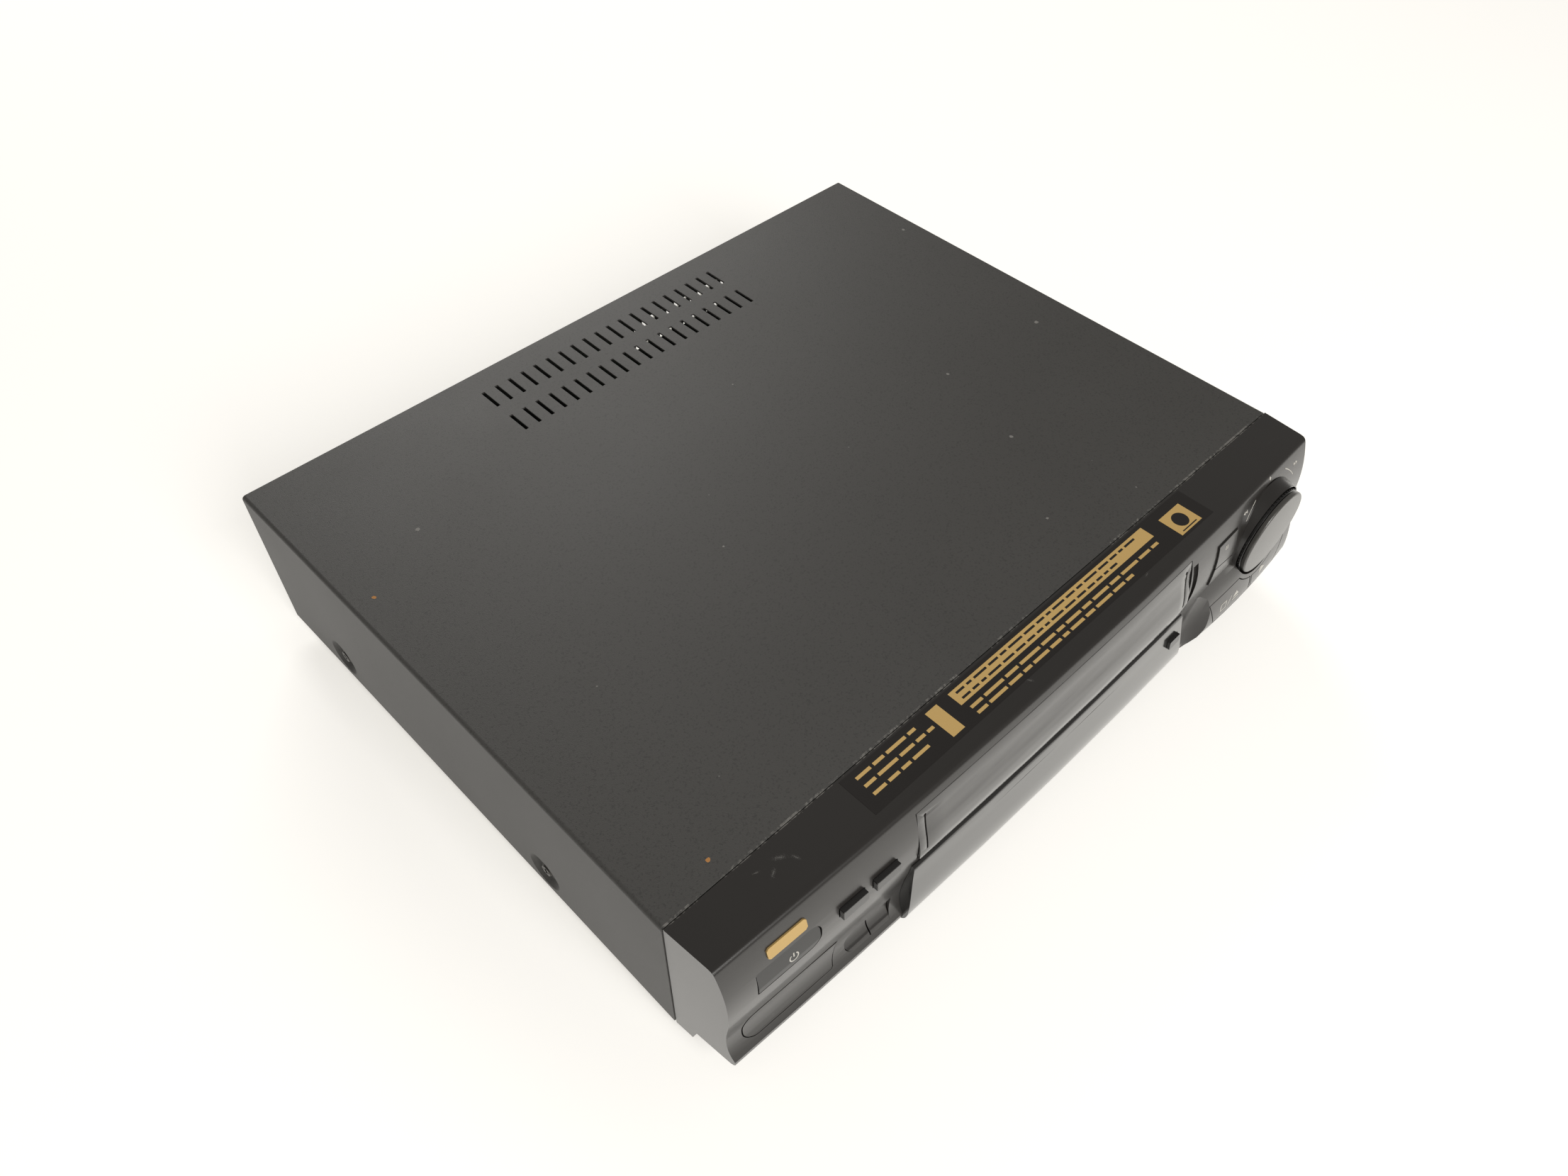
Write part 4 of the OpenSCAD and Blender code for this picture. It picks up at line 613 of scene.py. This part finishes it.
def on_circle(centre, radius, angle):
    """The point of a circle at an angle in radians."""
    return centre[0] + radius * math.cos(angle), centre[1] + radius * math.sin(angle)


def arc_stroke(centre, radius, start, end, width, steps=14):
    """An arc between two angles in degrees, as a run of short strokes."""
    points = [on_circle(centre, radius, math.radians(start + (end - start) * i / steps))
        for i in range(steps + 1)]
    return [stroke(a, b, width) for a, b in zip(points, points[1:])]


def disc(centre, radius, steps):
    return [on_circle(centre, radius, 2 * math.pi * i / steps) for i in range(steps)]


def triangle(x, z, size, way=1):
    """A triangle pointing right, or left where way is -1."""
    back, half = x - way * size / 2, size * 0.55
    return [(back, z - half), (back, z + half), (x + way * size / 2, z)]


def square(x, z, size, width):
    """The outline of a square in four strokes."""
    left, right, low, high = x - size / 2, x + size / 2, z - size / 2, z + size / 2
    return [stroke((left, low), (right, low), width), stroke((left, high), (right, high), width),
        stroke((left, low), (left, high), width), stroke((right, low), (right, high), width)]


def box(x0, x1, y0, y1):
    return [(x0, y0), (x1, y0), (x1, y1), (x0, y1)]


def clipped_box(x0, x1, z0, z1, clip):
    """A box with its corners cut off."""
    return [(x0 + clip, z0), (x1 - clip, z0), (x1, z0 + clip), (x1, z1 - clip),
        (x1 - clip, z1), (x0 + clip, z1), (x0, z1 - clip), (x0, z0 + clip)]


def power_mark(x, z, radius, width):
    """A ring open at the top, with a stroke standing in the opening."""
    ring = arc_stroke((x, z), radius, 125, 415, width)
    return ring + [stroke((x, z + 0.2), (x, z + radius + 0.6), width)]


def dial_marks():
    """Round the dial: a pointer on top, an arc each way and two pairs of arrows."""
    arc_width, arrow = 0.45, 1.7
    pointer = [(161.7, 90.4), (162.5, 91.5), (161.7, 92.6), (160.9, 91.5)]
    arcs = arc_stroke(DIAL, 28.2, 119, 141, arc_width) + arc_stroke(DIAL, 29.8, 36, 59, arc_width)
    back = [triangle(x, 86.2, arrow, -1) for x in (137.3, 139.2)]
    forward = [triangle(x, 86.0, arrow) for x in (186.4, 188.3)]
    return [pointer] + arcs + back + forward


def stop_and_eject():
    """A square, a slash, and a triangle standing over a bar."""
    width, bar_width = 0.6, 0.8
    slash = stroke((134.9, 31.1), (137.4, 36.3), width)
    left, right = 139.0, 144.6
    up = [(left, 33.4), (right, 33.4), (141.8, 36.8)]
    bar = stroke((left, 32.0), (right, 32.0), bar_width)
    return square(130.6, 33.7, 4.6, width) + [slash, up, bar]


def pause_bars():
    return [stroke((x, 76.8), (x, 79.2), 0.6) for x in (120.4, 121.8)]


# Prints and the label

def surface_of(node):
    """A tree of the faces of a CAD node, to find where a line from the front meets them."""
    mesh = frame["nodes"][node].data
    points = [vertex.co.copy() for vertex in mesh.vertices]
    return BVHTree.FromPolygons(points, [list(face.vertices) for face in mesh.polygons])


def slabs(name, outlines, onto, thickness):
    """A mesh of thin plates, each corner of the outlines moved by onto and thickened outwards."""
    shape = bmesh.new()
    for outline in outlines:
        low, high = [], []
        for point in outline:
            base, out = onto(point)
            low.append(shape.verts.new(base))
            high.append(shape.verts.new(base + out * thickness * MM))
        shape.faces.new(high)
        shape.faces.new(list(reversed(low)))
        for i in range(len(outline)):
            j = (i + 1) % len(outline)
            shape.faces.new((low[i], low[j], high[j], high[i]))
    bmesh.ops.recalc_face_normals(shape, faces=shape.faces)
    mesh = bpy.data.meshes.new(name)
    shape.to_mesh(mesh)
    shape.free()
    return mesh


def front_print(name, outlines, node, body, finish, lift=0.02, thickness=0.05):
    """Print on the front: outlines in front view, laid lift mm off the node that they meet."""
    in_front = -70   # a place well before the seam, in mm
    tree = surface_of(node)

    def onto(point):
        start = place(point[0], in_front, point[1])
        hit, normal, _, _ = tree.ray_cast(start, Vector((0, 1, 0)))
        if hit is None:
            raise RuntimeError(f"{name}: nothing to print on at {point}")
        if normal.y > 0:
            normal = -normal
        return hit + normal * lift * MM, normal

    return mesh_piece(name, slabs(name, outlines, onto, thickness), body, finish)


# Each print: its outlines, the node it lies on, the body it rides with and the slot
PRINTS = {
    "power_print": (power_mark(-165, 68, 2.1, 0.55), "power_button", "power_key", "button_plastic"),
    "dial_marks": (dial_marks(), "front_panel", "case", "panel_plastic"),
    "stop_print": (stop_and_eject(), "stop_button", "stop_key", "panel_plastic"),
    "play_print": ([triangle(168.2, 33.6, 5.0)], "play_button", "play_key", "panel_plastic"),
    "pause_print": (pause_bars(), "pause_button", "pause_key", "panel_plastic"),
}
for name, (outlines, node, body, slot) in PRINTS.items():
    front_print(name, outlines, node, body, "print")

# The label's rows of dashes: start, end, middle back from the seam, width, shortest dash, spread
GOLD_ROWS = ((-106, -72, -5.2, 1.5, 6, 7), (-106, -66, -9.8, 1.5, 4, 8),
    (-106, -74, -14.4, 1.5, 5, 6), (-48, 84, -14.2, 1.5, 5, 9), (-48, 60, -17.8, 1.5, 4, 8))
DARK_ROWS = ((-47, 78, -5.4, 1.1, 3, 7), (-47, 60, -8.8, 1.1, 3, 6))


def dash_row():
    """Geometry Nodes that add a row of flat dashes of uneven length to a mesh.

    All sizes are in mm. Start and End are across, Back and Up from the middle and the floor.
    """
    stride, first = 5.0, 2.0   # dash i is longer than the shortest by (5 i + 2) modulo Spread
    sizes = {"Start": 0.0, "End": 50.0, "Back": 0.0, "Up": 0.0, "Width": 1.5, "Thickness": 0.03,
        "Shortest": 4.0, "Spread": 6.0, "Gap": 1.6}
    tree = bpy.data.node_groups.new("dash_row", "GeometryNodeTree")
    sockets = tree.interface
    sockets.new_socket("Geometry", in_out="INPUT", socket_type="NodeSocketGeometry")
    for label, value in sizes.items():
        socket = sockets.new_socket(label, in_out="INPUT", socket_type="NodeSocketFloat")
        socket.default_value = value
    sockets.new_socket("Material", in_out="INPUT", socket_type="NodeSocketMaterial")
    sockets.new_socket("Geometry", in_out="OUTPUT", socket_type="NodeSocketGeometry")
    start = tree.nodes.new("NodeGroupInput").outputs
    end = tree.nodes.new("NodeGroupOutput").inputs

    def maths(operation, a, b=0.0, c=0.0):
        return math_node(tree, operation, a, b, c)

    def in_metres(x, y, z):
        joined = add(tree, "ShaderNodeCombineXYZ", {0: x, 1: y, 2: z}).outputs[0]
        return add(tree, "ShaderNodeVectorMath", {0: joined, "Scale": MM},
            operation="SCALE").outputs[0]

    index = add(tree, "GeometryNodeInputIndex").outputs[0]
    uneven = maths("MODULO", maths("MULTIPLY_ADD", index, stride, first), start["Spread"])
    length = maths("ADD", start["Shortest"], uneven)
    before = add(tree, "GeometryNodeAccumulateField", {"Value": maths("ADD", length, start["Gap"])},
        data_type="FLOAT").outputs["Trailing"]
    left = maths("ADD", start["Start"], before)
    right = maths("MINIMUM", maths("ADD", left, length), start["End"])
    middle = maths("MULTIPLY", maths("ADD", left, right), 0.5)
    height = maths("MULTIPLY_ADD", start["Thickness"], 0.5, start["Up"])
    most = maths("CEIL", maths("DIVIDE", maths("SUBTRACT", start["End"], start["Start"]),
        maths("ADD", start["Shortest"], start["Gap"])))
    heaped = add(tree, "GeometryNodePoints", {"Count": most}).outputs[0]
    points = add(tree, "GeometryNodeSetPosition",
        {"Geometry": heaped, "Position": in_metres(middle, start["Back"], height)}).outputs[0]
    dashes = add(tree, "GeometryNodeInstanceOnPoints", {"Points": points,
        "Selection": maths("LESS_THAN", left, start["End"]),
        "Instance": add(tree, "GeometryNodeMeshCube").outputs["Mesh"],
        "Scale": in_metres(maths("SUBTRACT", right, left), start["Width"], start["Thickness"])})
    both = add(tree, "GeometryNodeJoinGeometry", {0: start["Geometry"]})
    tree.links.new(dashes.outputs[0], both.inputs[0])
    solid = add(tree, "GeometryNodeRealizeInstances", {0: both.outputs[0]})
    painted = add(tree, "GeometryNodeSetMaterial",
        {"Geometry": solid.outputs[0], "Material": start["Material"]})
    tree.links.new(painted.outputs[0], end["Geometry"])
    return tree


DASH_ROW = dash_row()


def lay_on_top(name, outlines, base, thickness, finish, rows=()):
    """Flat shapes and rows of dashes on the top of the front panel, base mm above it."""
    def onto(point):
        return place(point[0], point[1], TOP_Z + base), Vector((0, 0, 1))

    work = linked(name + "_work", slabs(name + "_work", outlines, onto, thickness))
    for start, end, back, width, shortest, spread in rows:
        settings = {"Start": start, "End": end, "Back": back + SEAM_Y, "Up": TOP_Z + base,
            "Width": width, "Thickness": thickness, "Shortest": shortest, "Spread": spread}
        row = work.modifiers.new("row", "NODES")
        row.node_group = DASH_ROW
        for socket in DASH_ROW.interface.items_tree:
            if socket.name in settings:
                row[socket.identifier] = float(settings[socket.name])
            elif socket.name == "Material":
                row[socket.identifier] = MATERIALS[finish]
    return mesh_piece(name, finished_mesh(work, name), "case", finish)


def top_label():
    """The film label on the flat of the front panel, with a plain gold and black design."""
    film, gold_print, dark_print = 0.10, 0.03, 0.02   # thickness of the layers, in mm
    lay_on_top("label_base", [box(-112, 119.5, -21.0, -1.6)], 0.0, film, "label")
    banner, stamp = box(-50, 86, -10.8, -3.4), box(96, 112, -19.6, -6.4)
    upright = box(-64, -57, -18.6, -3.4)
    lay_on_top("label_gold", [banner, stamp, upright], film, gold_print, "gold", GOLD_ROWS)
    spot, underline = disc((104.0, -13.0), 4.2, 24), box(98.5, 109.5, -18.6, -18.0)
    lay_on_top("label_dark", [spot, underline], film + gold_print, dark_print, "label", DARK_ROWS)


top_label()

# The plain raised bar over the power key
front_print("badge_bar", [clipped_box(-176.5, -157.5, 80.2, 86.0, 1.0)], "front_panel", "case",
    "gold", lift=0.0, thickness=0.7)


# Floor, lights and camera

WARM = (1.0, 0.985, 0.955)

FLOOR_REACH = 12.0          # from the middle to each side, in metres
PAPER = (0.86, 0.86, 0.85, 1)
PAPER_GLOW = 0.44           # how much the paper floor round the object shines by itself
GLOW_COLOUR = (1.0, 0.965, 0.90, 1)
GLOW_AT = (0.30, 0.40, 0.0)
GLOW_FULL, GLOW_GONE = 0.8, 3.2   # how far from its middle the glow starts to fade, and ends

SKY, SKY_STRENGTH = (1.0, 0.97, 0.93, 1), 0.26

# Name, place, the point it faces, size and power
LAMPS = (("back_key", (0.9, 2.0, 1.3), (0, 0, 0.05), (1.4, 0.9), 20),
    ("front_key", (-0.35, -1.6, 1.2), (0.0, -0.2, 0.0), (0.8, 1.0), 27))

EYE = (-297.94, -280.91, 480.40)  # where the camera stands, in mm
EYE_RIGHT, EYE_AHEAD = (0.71370, -0.70030, 0.01445), (0.45320, 0.44594, -0.77185)
SENSOR, LENS = 36.0, 26.972
SHIFT_X, SHIFT_Y = 0.0004, 0.0212


def stage_floor():
    """A sheet of paper that glows for the camera, so that it stays bright round the object."""
    size = FLOOR_REACH
    mesh = bpy.data.meshes.new("floor")
    corners = [(-size, -size, 0), (size, -size, 0), (size, size, 0), (-size, size, 0)]
    mesh.from_pydata(corners, [], [(0, 1, 2, 3)])
    floor = linked("floor", mesh)
    material = bpy.data.materials.new("floor_paper")
    material.use_nodes = True
    tree = material.node_tree
    paper = tree.nodes["Principled BSDF"]
    paper.inputs["Base Color"].default_value = PAPER
    paper.inputs["Roughness"].default_value = 0.9
    paper.inputs["Specular IOR Level"].default_value = 0.0
    ray = add(tree, "ShaderNodeLightPath").outputs
    seen = math_node(tree, "MAXIMUM", ray["Is Camera Ray"],
        math_node(tree, "MAXIMUM", ray["Is Glossy Ray"], ray["Is Transmission Ray"]))
    coords = add(tree, "ShaderNodeTexCoord").outputs["Object"]
    away = add(tree, "ShaderNodeVectorMath", {0: coords, 1: GLOW_AT},
        operation="DISTANCE").outputs["Value"]
    near = add(tree, "ShaderNodeMapRange", {0: away, 1: GLOW_FULL, 2: GLOW_GONE, 3: 1.0, 4: 0.0},
        interpolation_type="SMOOTHSTEP").outputs[0]
    strength = math_node(tree, "MULTIPLY", math_node(tree, "MULTIPLY", seen, near), PAPER_GLOW)
    glow = add(tree, "ShaderNodeEmission", {0: GLOW_COLOUR, 1: strength})
    both = add(tree, "ShaderNodeAddShader", {0: paper.outputs[0], 1: glow.outputs[0]})
    tree.links.new(both.outputs[0], tree.nodes["Material Output"].inputs[0])
    mesh.materials.append(material)


def lamp(name, location, target, size, power):
    data = bpy.data.lights.new(name, "AREA")
    data.shape = "RECTANGLE"
    data.size, data.size_y = size
    data.energy = power
    data.color = WARM
    hung = linked(name, data)
    hung.location = location
    facing = Vector(target) - Vector(location)
    hung.rotation_euler = facing.to_track_quat("-Z", "Y").to_euler()


def world():
    studio = bpy.data.worlds.new("studio")
    bpy.context.scene.world = studio
    studio.use_nodes = True
    tree = studio.node_tree
    tree.nodes.clear()
    sky = add(tree, "ShaderNodeBackground", {0: SKY, 1: SKY_STRENGTH})
    out = add(tree, "ShaderNodeOutputWorld")
    tree.links.new(sky.outputs[0], out.inputs[0])


def camera():
    data = bpy.data.cameras.new("camera")
    data.sensor_width, data.lens = SENSOR, LENS
    data.shift_x, data.shift_y = SHIFT_X, SHIFT_Y
    eye = linked("camera", data)
    right, ahead = Vector(EYE_RIGHT).normalized(), Vector(EYE_AHEAD).normalized()
    up = right.cross(ahead).normalized()
    turn = Matrix((right, up, -ahead)).transposed()
    eye.matrix_world = Matrix.Translation(Vector(EYE) * MM) @ turn.to_4x4()
    bpy.context.scene.camera = eye


stage_floor()
for setting in LAMPS:
    lamp(*setting)
world()
camera()
bpy.context.scene.view_settings.view_transform = "Standard"
